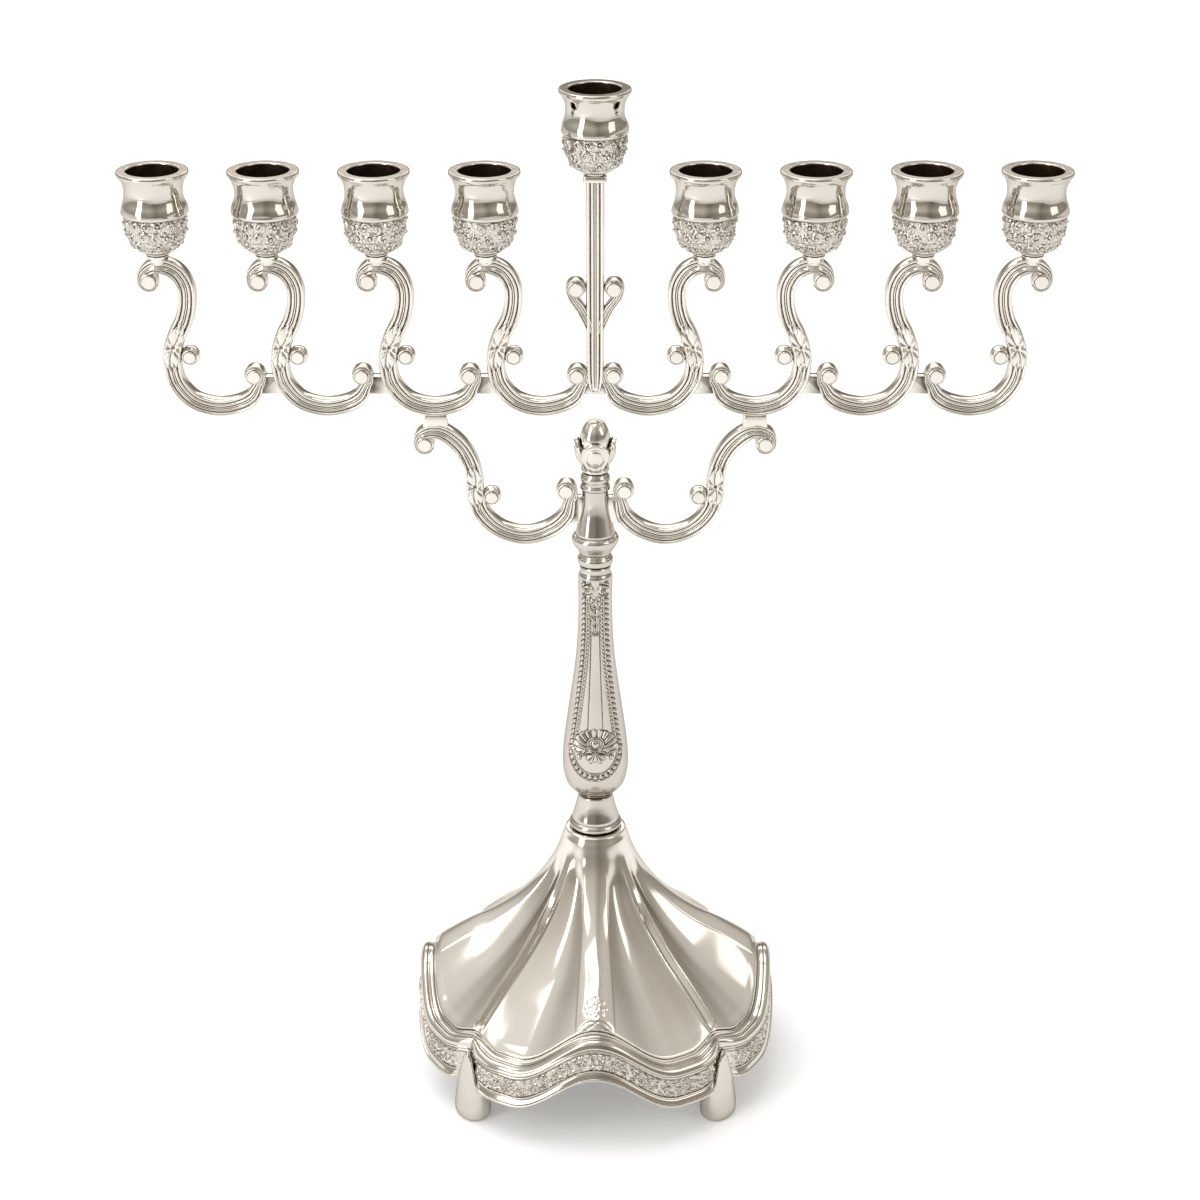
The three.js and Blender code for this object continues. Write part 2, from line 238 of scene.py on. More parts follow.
def grid_faces(nu, nv, wrap_u, wrap_v, offset=0):
    u = np.arange(nu if wrap_u else nu - 1)
    v = np.arange(nv if wrap_v else nv - 1)
    uu, vv = np.meshgrid(u, v, indexing="ij")
    u2, v2 = (uu + 1) % nu, (vv + 1) % nv
    f = np.stack([uu * nv + vv, u2 * nv + vv, u2 * nv + v2, uu * nv + v2], -1).reshape(-1, 4)
    return f + offset


class Shell:
    """Collects vertices (mm) and faces of one piece."""

    def __init__(self):
        self.v, self.f, self.n, self.attrs = [], [], 0, {}

    def add(self, verts, faces):
        self.v.append(np.asarray(verts, float).reshape(-1, 3))
        self.f += [[int(i) + self.n for i in q] for q in faces]
        self.n += len(self.v[-1])

    def grid(self, p, wrap_u=True, wrap_v=False, flip=False, caps=False):
        p = np.asarray(p, float)
        nu, nv = p.shape[:2]
        f = grid_faces(nu, nv, wrap_u, wrap_v)
        if flip:
            f = f[:, ::-1]
        f = [list(q) for q in f]
        if caps:
            lo = [i * nv for i in range(nu)]
            hi = [i * nv + nv - 1 for i in range(nu)]
            f.append(lo if flip else lo[::-1])
            f.append(hi[::-1] if flip else hi)
        self.add(p.reshape(-1, 3), f)

    def mesh(self, name, merge=0.0005):
        me = bpy.data.meshes.new(name)
        v = np.vstack(self.v) * MM
        me.from_pydata(v.tolist(), [], self.f)
        me.update()
        bm = bmesh.new()
        bm.from_mesh(me)
        if merge:
            bmesh.ops.remove_doubles(bm, verts=bm.verts, dist=merge * MM)
        bmesh.ops.recalc_face_normals(bm, faces=bm.faces)
        bm.to_mesh(me)
        bm.free()
        return me


def revolve(profile, nu, displace=None, axis="z", centre=(0, 0, 0)):
    """Grid of a profile (r, h) turned round an axis. displace(phi, profile arc length, r, h) moves points along the outline's normal."""
    pr = np.array(profile, float)
    phi = np.linspace(0, TAU, nu, endpoint=False)
    t = np.gradient(pr, axis=0)
    t /= np.maximum(np.linalg.norm(t, axis=1, keepdims=True), 1e-9)
    nrm = np.stack([t[:, 1], -t[:, 0]], 1)
    r = np.repeat(pr[None, :, 0], nu, 0)
    h = np.repeat(pr[None, :, 1], nu, 0)
    if displace is not None:
        s = np.concatenate([[0], np.cumsum(np.linalg.norm(np.diff(pr, axis=0), axis=1))])
        d = displace(phi[:, None] + 0 * r, s[None, :] + 0 * r, r, h)
        r = r + d * nrm[None, :, 0]
        h = h + d * nrm[None, :, 1]
    x, y = r * np.cos(phi)[:, None], r * np.sin(phi)[:, None]
    p = np.stack([x, y, h], -1) if axis == "z" else np.stack([x, -h, y], -1)
    return p + np.array(centre, float)


def remesh(me, voxel, smooth=2, factor=0.5):
    """Fuses overlapping closed shells into one cast-looking surface."""
    ob = bpy.data.objects.new("tmp", me)
    bpy.context.scene.collection.objects.link(ob)
    m = ob.modifiers.new("r", "REMESH")
    m.mode = "VOXEL"
    m.voxel_size = voxel * MM
    m.adaptivity = 0.0
    if smooth:
        s = ob.modifiers.new("s", "SMOOTH")
        s.iterations = smooth
        s.factor = factor
    dg = bpy.context.evaluated_depsgraph_get()
    out = bpy.data.meshes.new_from_object(ob.evaluated_get(dg))
    bpy.data.objects.remove(ob)
    return out


def fuse(shells, name):
    """Joins overlapping closed shells into one surface, keeping their crisp detail."""
    objects = []
    for i, shell in enumerate(shells):
        ob = bpy.data.objects.new(f"{name}_{i}", shell.mesh(f"{name}_{i}"))
        bpy.context.scene.collection.objects.link(ob)
        objects.append(ob)
    for other in objects[1:]:
        m = objects[0].modifiers.new(other.name, "BOOLEAN")
        m.operation = "UNION"
        m.solver = "MANIFOLD"
        m.object = other
    dg = bpy.context.evaluated_depsgraph_get()
    out = bpy.data.meshes.new_from_object(objects[0].evaluated_get(dg))
    out.name = name
    for ob in objects:
        bpy.data.objects.remove(ob)
    bm = bmesh.new()
    bm.from_mesh(out)
    bmesh.ops.join_triangles(bm, faces=bm.faces, angle_face_threshold=math.radians(35), angle_shape_threshold=math.radians(50))
    bm.to_mesh(out)
    bm.free()
    return out


def one(build, *args, **kw):
    """A shell holding just one of the shapes below."""
    sh = Shell()
    build(sh, *args, **kw)
    return sh


def shape_attributes(me, gain=1.0, blur=1):
    """Stores how recessed and how proud each vertex is, from the surface's own curvature."""
    n = len(me.vertices)
    co = np.empty(n * 3)
    me.vertices.foreach_get("co", co)
    co = co.reshape(-1, 3) / MM
    nor = np.empty(n * 3)
    me.vertices.foreach_get("normal", nor)
    nor = nor.reshape(-1, 3)
    e = np.empty(len(me.edges) * 2, int)
    me.edges.foreach_get("vertices", e)
    e = e.reshape(-1, 2)
    d = co[e[:, 1]] - co[e[:, 0]]
    ln = np.maximum((d * d).sum(1), 1e-6)
    w = 1.0 / ln
    k = np.zeros(n)
    cnt = np.zeros(n)
    np.add.at(k, e[:, 0], (d * nor[e[:, 0]]).sum(1) * w)
    np.add.at(k, e[:, 1], -(d * nor[e[:, 1]]).sum(1) * w)
    np.add.at(cnt, e.ravel(), 1)
    k /= np.maximum(cnt, 1)
    for _ in range(blur):
        acc, c2 = k.copy(), np.ones(n)
        np.add.at(acc, e[:, 0], k[e[:, 1]])
        np.add.at(acc, e[:, 1], k[e[:, 0]])
        np.add.at(c2, e.ravel(), 1)
        k = acc / c2
    # cavity drives the painted shade in the recesses of the silver materials
    cav = np.clip(k * gain * 1.2 - 0.12, 0, 1)
    # edge makes proud edges lighter in the silver materials
    edge = np.clip(-k * gain * 0.9 - 0.35, 0, 1)
    for name, val in (("cavity", cav), ("edge", edge)):
        a = me.attributes.get(name) or me.attributes.new(name, "FLOAT", "POINT")
        a.data.foreach_set("value", val.astype(np.float32))


def zero_attribute(me, name, value=None):
    a = me.attributes.get(name) or me.attributes.new(name, "FLOAT", "POINT")
    v = np.zeros(len(me.vertices), np.float32) if value is None else value.astype(np.float32)
    a.data.foreach_set("value", v)


def coords(me):
    co = np.empty(len(me.vertices) * 3)
    me.vertices.foreach_get("co", co)
    return co.reshape(-1, 3) / MM


def finish_mesh(me, mat, sharp=40.0, gain=1.0, inner=None):
    me.materials.clear()
    me.materials.append(mat)
    me.polygons.foreach_set("use_smooth", np.ones(len(me.polygons), bool))
    if sharp:
        me.set_sharp_from_angle(angle=math.radians(sharp))
    me.update()
    shape_attributes(me, gain)
    zero_attribute(me, "inner", inner(coords(me)) if inner else None)
    return me


def place(name, me, body, nodes):
    ob = bpy.data.objects.new(name, me)
    bpy.context.scene.collection.objects.link(ob)
    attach(ob, body)
    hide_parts(*nodes)
    return ob


def mirrored_mesh(me, name):
    out = me.copy()
    out.name = name
    co = coords(out)
    co[:, 0] *= -1
    out.vertices.foreach_set("co", (co * MM).ravel())
    out.flip_normals()
    out.update()
    return out


def shifted_mesh(me, name, dx=0.0, dz=0.0):
    out = me.copy()
    out.name = name
    co = coords(out) + np.array([dx, 0, dz])
    out.vertices.foreach_set("co", (co * MM).ravel())
    out.update()
    return out


def turned_copy(me, name, angle):
    out = me.copy()
    out.name = name
    co = coords(out)
    c, s = math.cos(angle), math.sin(angle)
    x, y = co[:, 0] * c - co[:, 1] * s, co[:, 0] * s + co[:, 1] * c
    out.vertices.foreach_set("co", (np.stack([x, y, co[:, 2]], 1) * MM).ravel())
    out.update()
    return out


# ---------------------------------------------------------------- relief patterns

def bump_field(x, y, cx, cy, r, h):
    """Soft round boss of radius r and height h."""
    d2 = ((x - cx) ** 2 + (y - cy) ** 2) / (r * r)
    return h * np.clip(1 - d2, 0, 1) ** 0.7


def floral_field(x, y, period, y0, y1, seed, size=1.5, depth=0.5, count=None):
    """Dense repousse: seeded five-petalled flowers, curling leaves and stippled ground, repeating in x."""
    rng = np.random.default_rng(seed)
    h = np.zeros_like(x)
    area = period * (y1 - y0)
    count = count or int(area / (size * size * 1.15))
    cells_x = max(1, int(period / (size * 1.12)))
    cells_y = max(1, int(round((y1 - y0) / (size * 1.05))))
    for j in range(cells_y):
        for i in range(cells_x):
            cx = (i + 0.5 + 0.5 * (j % 2)) * period / cells_x + rng.uniform(-0.2, 0.2) * size
            cy = y0 + (j + 0.5) * (y1 - y0) / cells_y + rng.uniform(-0.16, 0.16) * size
            s = size * rng.uniform(0.5, 0.64)
            turn = rng.uniform(0, TAU)
            kind = rng.random()
            dx = (x - cx + period / 2) % period - period / 2
            dy = y - cy
            near = (np.abs(dx) < s * 1.3) & (np.abs(dy) < s * 1.3)
            if not near.any():
                continue
            ax, ay = dx[near], dy[near]
            rr = np.hypot(ax, ay) / s
            th = np.arctan2(ay, ax) + turn
            if kind < 0.45:
                petal = np.clip(1 - rr / (0.62 + 0.38 * np.abs(np.cos(2.5 * th))), 0, 1) ** 0.5
                core = np.clip(1 - (rr / 0.28) ** 2, 0, 1) ** 0.5
                val = 0.75 * petal * (1 - 0.7 * np.exp(-((rr - 0.34) / 0.09) ** 2)) + 0.5 * core
            else:
                swirl = np.sin(th * 1.0 + rr * 5.2)
                val = np.clip(1 - rr ** 3, 0, 1) * (0.25 + 0.75 * np.clip(swirl, 0, 1) ** 0.6)
            cur = h[near]
            h[near] = np.maximum(cur, val)
    ground = 0.14 * (0.5 + 0.5 * np.sin(x * 6.3 + 2 * np.sin(y * 3.7)) * np.sin(y * 5.9 + 2 * np.sin(x * 3.3)))
    edge = np.clip((y - y0) / 0.35, 0, 1) * np.clip((y1 - y) / 0.35, 0, 1)
    return (h + ground) * depth * edge


def smooth01(t):
    t = np.clip(t, 0, 1)
    return t * t * (3 - 2 * t)


# ---------------------------------------------------------------- candle cups

def build_cup():
    floor = CUP_H - 16
    profile = rounded([
        (0, 5.3, 0), (1.9, 5.3, 0.05), (1.9, 0, 0.1), (3.35, 0, 0.15), (3.4, 0.55, 0.3), (4.9, 0.95, 0.5),
        (6.6, 2.3, 1.0), (7.95, 4.2, 1.5), (8.75, 7.0, 1.8), (8.95, 10.2, 1.5), (8.9, 11.55, 0.1), (9.35, 11.75, 0.12),
        (9.62, 12.3, 0.35), (9.35, 14.1, 1.5), (8.5, 16.2, 1.5), (8.25, 18.2, 1.5), (8.5, 20.2, 1.2), (9.3, 22.0, 1.0),
        (9.95, 22.85, 0.3), (10.2, 23.2, 0.3), (10.25, 23.7, 0.3), (10.05, CUP_H - 0.02, 0.3),
        (7.5, CUP_H - 0.02, 0.2), (7.3, 23.9, 0.25), (7.3, floor + 0.6, 0.5), (6.6, floor, 0.5), (0, floor, 0),
    ], n=6)
    profile = resample(profile, 0.17)

    def relief(phi, s, r, h):
        x = phi * 9.0
        f = floral_field(x, h, TAU * 9.0, 1.5, 11.5, 5, size=3.3, depth=0.74)
        d = f - 0.34 * (smooth01((h - 1.4) / 0.5) * smooth01((11.5 - h) / 0.25))
        d = np.where((h > 1.4) & (h < 11.5) & (r > 5.2), d, 0)
        ding = 0.045 * np.sin(3 * phi + 0.7 * h) + 0.03 * np.sin(5 * phi - 1.1 * h)
        polished = (h > 12.8) & (h < 22.5) & (r > 8)
        return d + np.where(polished, ding, 0)

    sh = Shell()
    sh.grid(revolve(profile, 360, relief))
    me = sh.mesh("cup_mesh")

    def inner(co):
        r = np.hypot(co[:, 0], co[:, 1])
        return ((r < 7.36) & (co[:, 2] > floor - 0.3) & (co[:, 2] < CUP_H - 0.35)).astype(float)

    return finish_mesh(me, M_CUP, sharp=50, gain=0.75, inner=inner)


cup_mesh = build_cup()
cup_names = [("shamash_cup", 0.0, SHAMASH_SEAT)]
cup_names += [(f"cup_{side}_{i}", s * i * PITCH, SEAT) for side, s in (("left", -1), ("right", 1)) for i in range(1, 5)]
rng_cup = np.random.default_rng(3)
for cup_name, cup_x, cup_z in cup_names:
    turned_mesh = turned_copy(cup_mesh, cup_name + "_mesh", rng_cup.uniform(0, TAU))
    ob = bpy.data.objects.new(cup_name + "_plate", turned_mesh)
    bpy.context.scene.collection.objects.link(ob)
    ob.location = (cup_x * MM, 0, cup_z * MM)
    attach(ob, cup_name)
    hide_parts(cup_name)


# ---------------------------------------------------------------- scroll work

STRAP_HALF_DEPTH = 2.4
REED = np.array([
    (0.0, -0.40), (0.05, -0.46), (0.10, -0.82), (0.15, -0.50), (0.22, -0.34), (0.30, -0.29), (0.38, -0.37), (0.44, -0.62),
    (0.49, -1.02), (0.54, -0.60), (0.61, -0.20), (0.71, -0.03), (0.79, 0.0), (0.87, -0.12), (0.94, -0.48), (0.985, -1.05),
    (1.0, -1.75),
])


def strap_section():
    """Reeded outline: width share and depth under the proudest line, front and back alike."""
    a = np.concatenate([-REED[::-1, 0], REED[1:, 0]])
    b = np.concatenate([REED[::-1, 1], REED[1:, 1]])
    line = resample(np.stack([a * 2.6, b], 1), 0.13)
    return line[:, 0] / 2.6, line[:, 1]


SEC_A, SEC_B = strap_section()


def strap_shell(sh, path, step=0.22, leaf=None, reed=1.0):
    """path rows: x, z, width, half depth. leaf = (s0, s1) puts a raised leaf pad over the reeding."""
    p = curve_points(path, step)
    xz, w, hd = p[:, :2], p[:, 2], p[:, 3]
    t = np.gradient(xz, axis=0)
    t /= np.linalg.norm(t, axis=1, keepdims=True)
    n = np.stack([-t[:, 1], t[:, 0]], 1)
    s = np.concatenate([[0], np.cumsum(np.linalg.norm(np.diff(xz, axis=0), axis=1))])
    a = SEC_A[None, :] * w[:, None] / 2
    scale = np.clip(w / 5.2, 0.25, 1)[:, None]
    b = hd[:, None] + SEC_B[None, :] * scale * reed
    if leaf:
        u = (s[:, None] - leaf[0]) / (leaf[1] - leaf[0])
        inside = (u > 0) & (u < 1)
        half = np.sqrt(np.clip(np.sin(np.pi * np.clip(u, 0, 1)), 0, 1)) * (0.92 - 0.25 * np.exp(-((u - 0.5) / 0.06) ** 2))
        q = np.abs(SEC_A)[None, :] / np.maximum(half, 1e-3)
        pad = smooth01((1 - q) / 0.12) * inside
        flip = np.sign(u - 0.5)
        lobes = np.abs(np.sin(np.pi * (u * 4.0 - 0.8 * flip * q)))
        vein = np.exp(-((SEC_A[None, :] - 0.18 * np.sin(2 * np.pi * u)) / 0.10) ** 2)
        waist = np.exp(-((u - 0.5) / 0.035) ** 2)
        leaf_h = 0.12 + 0.46 * lobes ** 0.6 * smooth01(q * 2.2) * (1 - 0.3 * q) - 0.26 * vein - 0.5 * waist
        b = b * (1 - pad) + (hd[:, None] - 0.25 + leaf_h) * pad
    front = np.stack([xz[:, None, 0] + n[:, None, 0] * a, -b, xz[:, None, 1] + n[:, None, 1] * a], -1)
    back = np.stack([xz[:, None, 0] + n[:, None, 0] * a, b, xz[:, None, 1] + n[:, None, 1] * a], -1)[:, ::-1]
    loop = np.concatenate([front, back], 1)
    k = loop.shape[1]
    f = [list(q) for q in grid_faces(len(loop), k, False, True)]
    f.append(list(range(k))[::-1])
    f.append([(len(loop) - 1) * k + i for i in range(k)])
    sh.add(loop.reshape(-1, 3), f)


def volute_shell(sh, x, z, r, disc=1.9, proud=3.05, ring=2.35):
    """Rolled scroll end: domed ring round a flat, slightly proud button, alike front and back."""
    half = rounded([
        (0, proud), (disc - 0.12, proud, 0.2), (disc, proud - 0.2, 0.15), (disc + 0.02, ring - 0.15, 0.1),
        (disc + 0.16, ring - 0.1, 0.15), (disc + 0.45, ring + 0.02, 0.3), (r - 0.5, ring - 0.4, 0.4),
        (r - 0.05, ring - 1.3, 0.6), (r, 0),
    ], n=4)
    prof = np.vstack([half, (half * [1, -1])[::-1][1:]])
    sh.grid(revolve(resample(prof, 0.25), 56, axis="y", centre=(x, 0, z)), flip=True)


def block_shell(sh, x0, x1, hy, z0, z1, bevel=0.35, taper=0.0):
    """Small block with rounded edges; taper widens its foot."""
    nx = 12
    out = []
    for zz, grow in ((z0, -bevel), (z0 + bevel * 0.3, -bevel * 0.3), (z0 + bevel, 0), (z1 - bevel, 0), (z1 - bevel * 0.3, -bevel * 0.3), (z1, -bevel)):
        f = taper * (z1 - zz) / (z1 - z0)
        hx, hh = (x1 - x0) / 2 + grow + f, hy + grow + f
        ring = []
        for k in range(4 * nx):
            th = TAU * (k + 0.5) / (4 * nx)
            c, s = math.cos(th), math.sin(th)
            e = 0.25
            ring.append(((x0 + x1) / 2 + hx * math.copysign(abs(c) ** e, c), hh * math.copysign(abs(s) ** e, s), zz))
        out.append(ring)
    p = np.array(out).transpose(1, 0, 2)
    sh.grid(p, caps=True)


def neck_shell(sh):
    """Waisted neck that flares down into the top of an arm."""
    line = resample(rounded([
        (0, SEAT - 0.3), (3.3, SEAT - 0.3, 0.2), (3.15, SEAT - 0.9, 0.4), (2.75, SEAT - 1.8, 0.8), (3.1, SEAT - 3.0, 0.8),
        (4.1, SEAT - 4.3, 0.4), (0, SEAT - 4.3),
    ], n=6), 0.2)
    p = revolve(line, 96)
    low = smooth01((SEAT - 1.6 - p[..., 2]) / 1.6)
    p[..., 1] *= 1 - 0.32 * low
    sh.grid(p)


D = STRAP_HALF_DEPTH


def curl(cx, cz, angles, widths, outers):
    """Strand wound round a volute: it narrows, thins and tightens toward its free end."""
    n = len(angles)
    rows = []
    for i, (deg, w, outer) in enumerate(zip(angles, widths, outers)):
        a = math.radians(deg)
        rows.append((cx + (outer - w / 2) * math.cos(a), cz + (outer - w / 2) * math.sin(a), w, D - 0.5 * (i + 1) / n))
    return rows


UP_CURL = (-62, -36, -10, 20, 55, 90, 125, 160)
DOWN_CURL = (116, 141, 167, 196, 230, 265, 300, 335)
CURL_WIDTHS = (3.1, 2.3, 1.85, 1.6, 1.4, 1.25, 1.1, 0.85)
CURL_OUTERS = (4.6, 3.95, 3.5, 3.3, 3.2, 3.1, 3.0, 2.85)
# Columns: x from the cup's axis toward the centre, height, width, half depth.
ARM_TOP = curl(-2.65, 257.2, DOWN_CURL, CURL_WIDTHS, CURL_OUTERS)[::-1] + [(-1.3, 261.5, 4.2, D), (1.7, 261.5, 4.9, D)]
ARM_MIDDLE = [
    (5.0, 259.8, 5.2, D), (7.4, 255.9, 5.2, D), (7.7, 250.9, 5.2, D), (6.5, 245.6, 5.3, D), (4.1, 240.6, 5.4, D),
    (2.7, 236.2, 5.4, D), (2.4, 231.6, 5.3, D), (3.7, 226.2, 5.2, D), (8.0, 221.1, 5.2, D), (15.0, 219.0, 5.2, D),
    (21.6, 220.2, 5.1, D),
]
ARM_END = [(25.0, 222.3, 4.7, D)] + curl(25.7, 228.7, UP_CURL, CURL_WIDTHS, CURL_OUTERS)


def arc_length(path, upto):
    p = curve_points(path, 0.22)
    s = np.concatenate([[0], np.cumsum(np.linalg.norm(np.diff(p[:, :2], axis=0), axis=1))])
    i = np.argmin(np.hypot(p[:, 0] - upto[0], p[:, 1] - upto[1]))
    return s[i]


def build_arm(cup_x, innermost):
    path = ARM_TOP + ARM_MIDDLE + ARM_END
    leaf = (arc_length(path, (5.9, 244.4)), arc_length(path, (2.5, 229.8)))
    reach = PITCH - 1.6 if innermost else PITCH + 4.0
    shells = [
        one(strap_shell, path, leaf=leaf),
        one(volute_shell, -2.65, 257.2, 2.8, disc=1.95),
        one(volute_shell, 25.7, 228.7, 3.0),
        one(volute_shell, 7.6, 234.6, 2.85, disc=1.75, proud=2.9),
        one(neck_shell),
        one(block_shell, 25.6, reach, 1.7, 223.2, 228.7, bevel=0.4),
    ]
    me = fuse(shells, "arm")
    co = coords(me)
    co[:, 0] += cup_x
    me.vertices.foreach_set("co", (co * MM).ravel())
    return me


arm_far = build_arm(-2 * PITCH, False)
arm_near = build_arm(-PITCH, True)
finish_mesh(arm_far, M_ARM, sharp=75, gain=0.6)
finish_mesh(arm_near, M_ARM, sharp=75, gain=0.6)
for i in range(1, 5):
    base_me = arm_near if i == 1 else arm_far
    left = base_me if i <= 2 else shifted_mesh(arm_far, f"arm_left_{i}_mesh", dx=-(i - 2) * PITCH)
    place(f"arm_left_{i}_scroll", left, "stem", [f"arm_left_{i}"])
    place(f"arm_right_{i}_scroll", mirrored_mesh(left, f"arm_right_{i}_mesh"), "stem", [f"arm_right_{i}"])


def build_lower_arm():
    path = [
        *curl(-49.5, 207.7, DOWN_CURL, CURL_WIDTHS, CURL_OUTERS)[::-1], (-48.0, 211.6, 4.2, D), (-45.4, 211.5, 4.8, D),
        (-42.6, 210.0, 5.1, D), (-38.9, 206.4, 5.2, D),
        (-36.4, 201.6, 5.2, D), (-35.3, 196.2, 5.3, D), (-35.1, 191.2, 5.4, D), (-33.4, 186.0, 5.3, D),
        (-28.6, 181.0, 5.2, D), (-20.7, 178.6, 5.2, D), (-12.9, 181.0, 5.2, D), (-8.6, 185.2, 4.7, D),
        *curl(-8.6, 193.0, UP_CURL, CURL_WIDTHS, CURL_OUTERS),
    ]
    leaf = (arc_length(path, (-36.2, 201.0)), arc_length(path, (-34.3, 187.6)))
    shells = [
        one(strap_shell, path, leaf=leaf),
        one(volute_shell, -49.6, 207.7, 3.0),
        one(volute_shell, -8.6, 193.0, 3.0),
        one(volute_shell, -30.4, 191.2, 2.85, disc=1.75, proud=2.9),
        one(block_shell, -7.6, -3.6, 1.55, 182.6, 191.0, bevel=0.3),
    ]
    return finish_mesh(fuse(shells, "lower_arm"), M_ARM, sharp=75, gain=0.6)


lower = build_lower_arm()
place("lower_arm_left_scroll", lower, "stem", ["lower_arm_left"])
place("lower_arm_right_scroll", mirrored_mesh(lower, "lower_arm_right_mesh"), "stem", ["lower_arm_right"])

saddle_shell = Shell()
block_shell(saddle_shell, -49.6, -43.2, 1.7, 212.8, 218.0, bevel=0.35, taper=0.5)
saddle_mesh = finish_mesh(saddle_shell.mesh("saddle"), M_ARM, sharp=75, gain=0.5)
place("saddle_left_block", saddle_mesh, "stem", ["saddle_left"])
place("saddle_right_block", mirrored_mesh(saddle_mesh, "saddle_right_mesh"), "stem", ["saddle_right"])


def build_post():
    shaft = [(0, 223.4, 2.2, 1.6), (0, 225.0, 3.6, 2.0), (0, 228, 4.7, D), (0, 233, 5.1, D), (0, 245, 5.2, D), (0, 262, 5.4, D),
             (0, 280, 5.4, D), (0, SHAMASH_SEAT - 0.4, 5.4, D)]
    shells = [one(strap_shell, shaft, step=0.4)]
    for side in (-1, 1):
        heart = [(1.2, 241.6, 1.6, 2.0), (2.4, 245.2, 2.6, 2.1), (4.0, 248.6, 2.9, 2.2), (6.1, 251.6, 2.6, 2.2)]
        heart += curl(5.4, 254.9, (-8, 28, 64, 100, 136, 172, 206), (2.0, 1.8, 1.6, 1.45, 1.3, 1.1, 0.9), (3.1, 3.0, 2.95, 2.9, 2.85, 2.8, 2.7))
        shells.append(one(strap_shell, [(side * x, z, w, d) for x, z, w, d in heart], step=0.25))
        shells.append(one(volute_shell, side * 5.4, 254.9, 2.75, disc=1.95))
    shells.append(one(block_shell, -2.6, 2.6, 1.7, 223.0, 226.6, bevel=0.5))
    shells.append(one(block_shell, -3.2, 3.2, 2.55, SHAMASH_SEAT - 2.2, SHAMASH_SEAT - 0.3, bevel=0.25, taper=0.2))
    return finish_mesh(fuse(shells, "post"), M_ARM, sharp=75, gain=0.6)


place("shamash_post_scroll", build_post(), "stem", ["shamash_post"])


# ---------------------------------------------------------------- stem

BORE = 2.3


def ring_profile(outer, n=6, step=0.2, radius=0.3):
    """Turned outline with the rod's bore: closed on itself."""
    line = rounded(outer, radius, n)
    line = resample(line, step)
    bottom, top = line[0, 1], line[-1, 1]
    return np.vstack([[[BORE, (bottom + top) / 2]], [[BORE, bottom]], line, [[BORE, top]]])


def turned_piece(name, outer, node, mat, body="stem", nu=192, displace=None, gain=0.6, radius=0.3, step=0.2):
    prof = ring_profile(outer, radius=radius, step=step)
    sh = Shell()
    sh.grid(revolve(prof, nu, displace), wrap_v=True)
    me = finish_mesh(sh.mesh(name + "_mesh"), mat, sharp=45, gain=gain)
    return place(name, me, body, [node])


turned_piece("stem_collar_plate", [
    (6.6, 81.3), (7.5, 81.3, 0.2), (8.1, 81.9, 0.4), (8.2, 82.7, 0.5), (7.6, 83.5, 0.4), (7.2, 83.7, 0.2), (7.3, 84.2, 0.25),
    (7.25, 84.6, 0.3), (6.5, 87, 1.5), (5.8, 89.8, 1.5), (5.35, 92.2, 0.3), (4.6, 92.4),
], "stem_collar", M_STEM)
turned_piece("stem_ring_plate", [
    (4.4, 169.2), (4.7, 169.3, 0.1), (5.25, 169.8, 0.5), (5.4, 170.7, 0.6), (5.3, 171.5, 0.5), (4.9, 172.1, 0.3), (4.75, 172.5, 0.2), (4.4, 172.9),
], "stem_ring", M_STEM)
turned_piece("hub_plate", [
    (4.2, 173.2), (4.9, 173.2, 0.2), (5.4, 174.2, 0.6), (6.4, 175.6, 0.6), (6.95, 176.8, 0.6), (7.05, 177.9, 0.5), (6.4, 178.8, 0.3),
    (5.85, 179.0, 0.2), (5.9, 179.5, 0.3), (5.2, 182.5, 2), (4.3, 186.4, 2), (3.85, 189.5, 1.2), (3.9, 192.6, 0.5), (4.0, 193.2, 0.1),
    (4.45, 193.5, 0.25), (4.45, 194.3, 0.3), (4.05, 194.8, 0.2), (4.0, 195.6, 0.3), (4.4, 196.3, 0.3), (4.4, 197.2, 0.4), (3.9, 198.0, 0.3), (3.6, 198.4),
], "hub", M_STEM, nu=160)


# Height of the shelf and up, and the panel's half width there as a share of the radius.
PANEL_Z = (111.2, 125.0, 140.0, 160.0)
PANEL_SHARE = (0.88, 0.80, 0.74, 0.72)


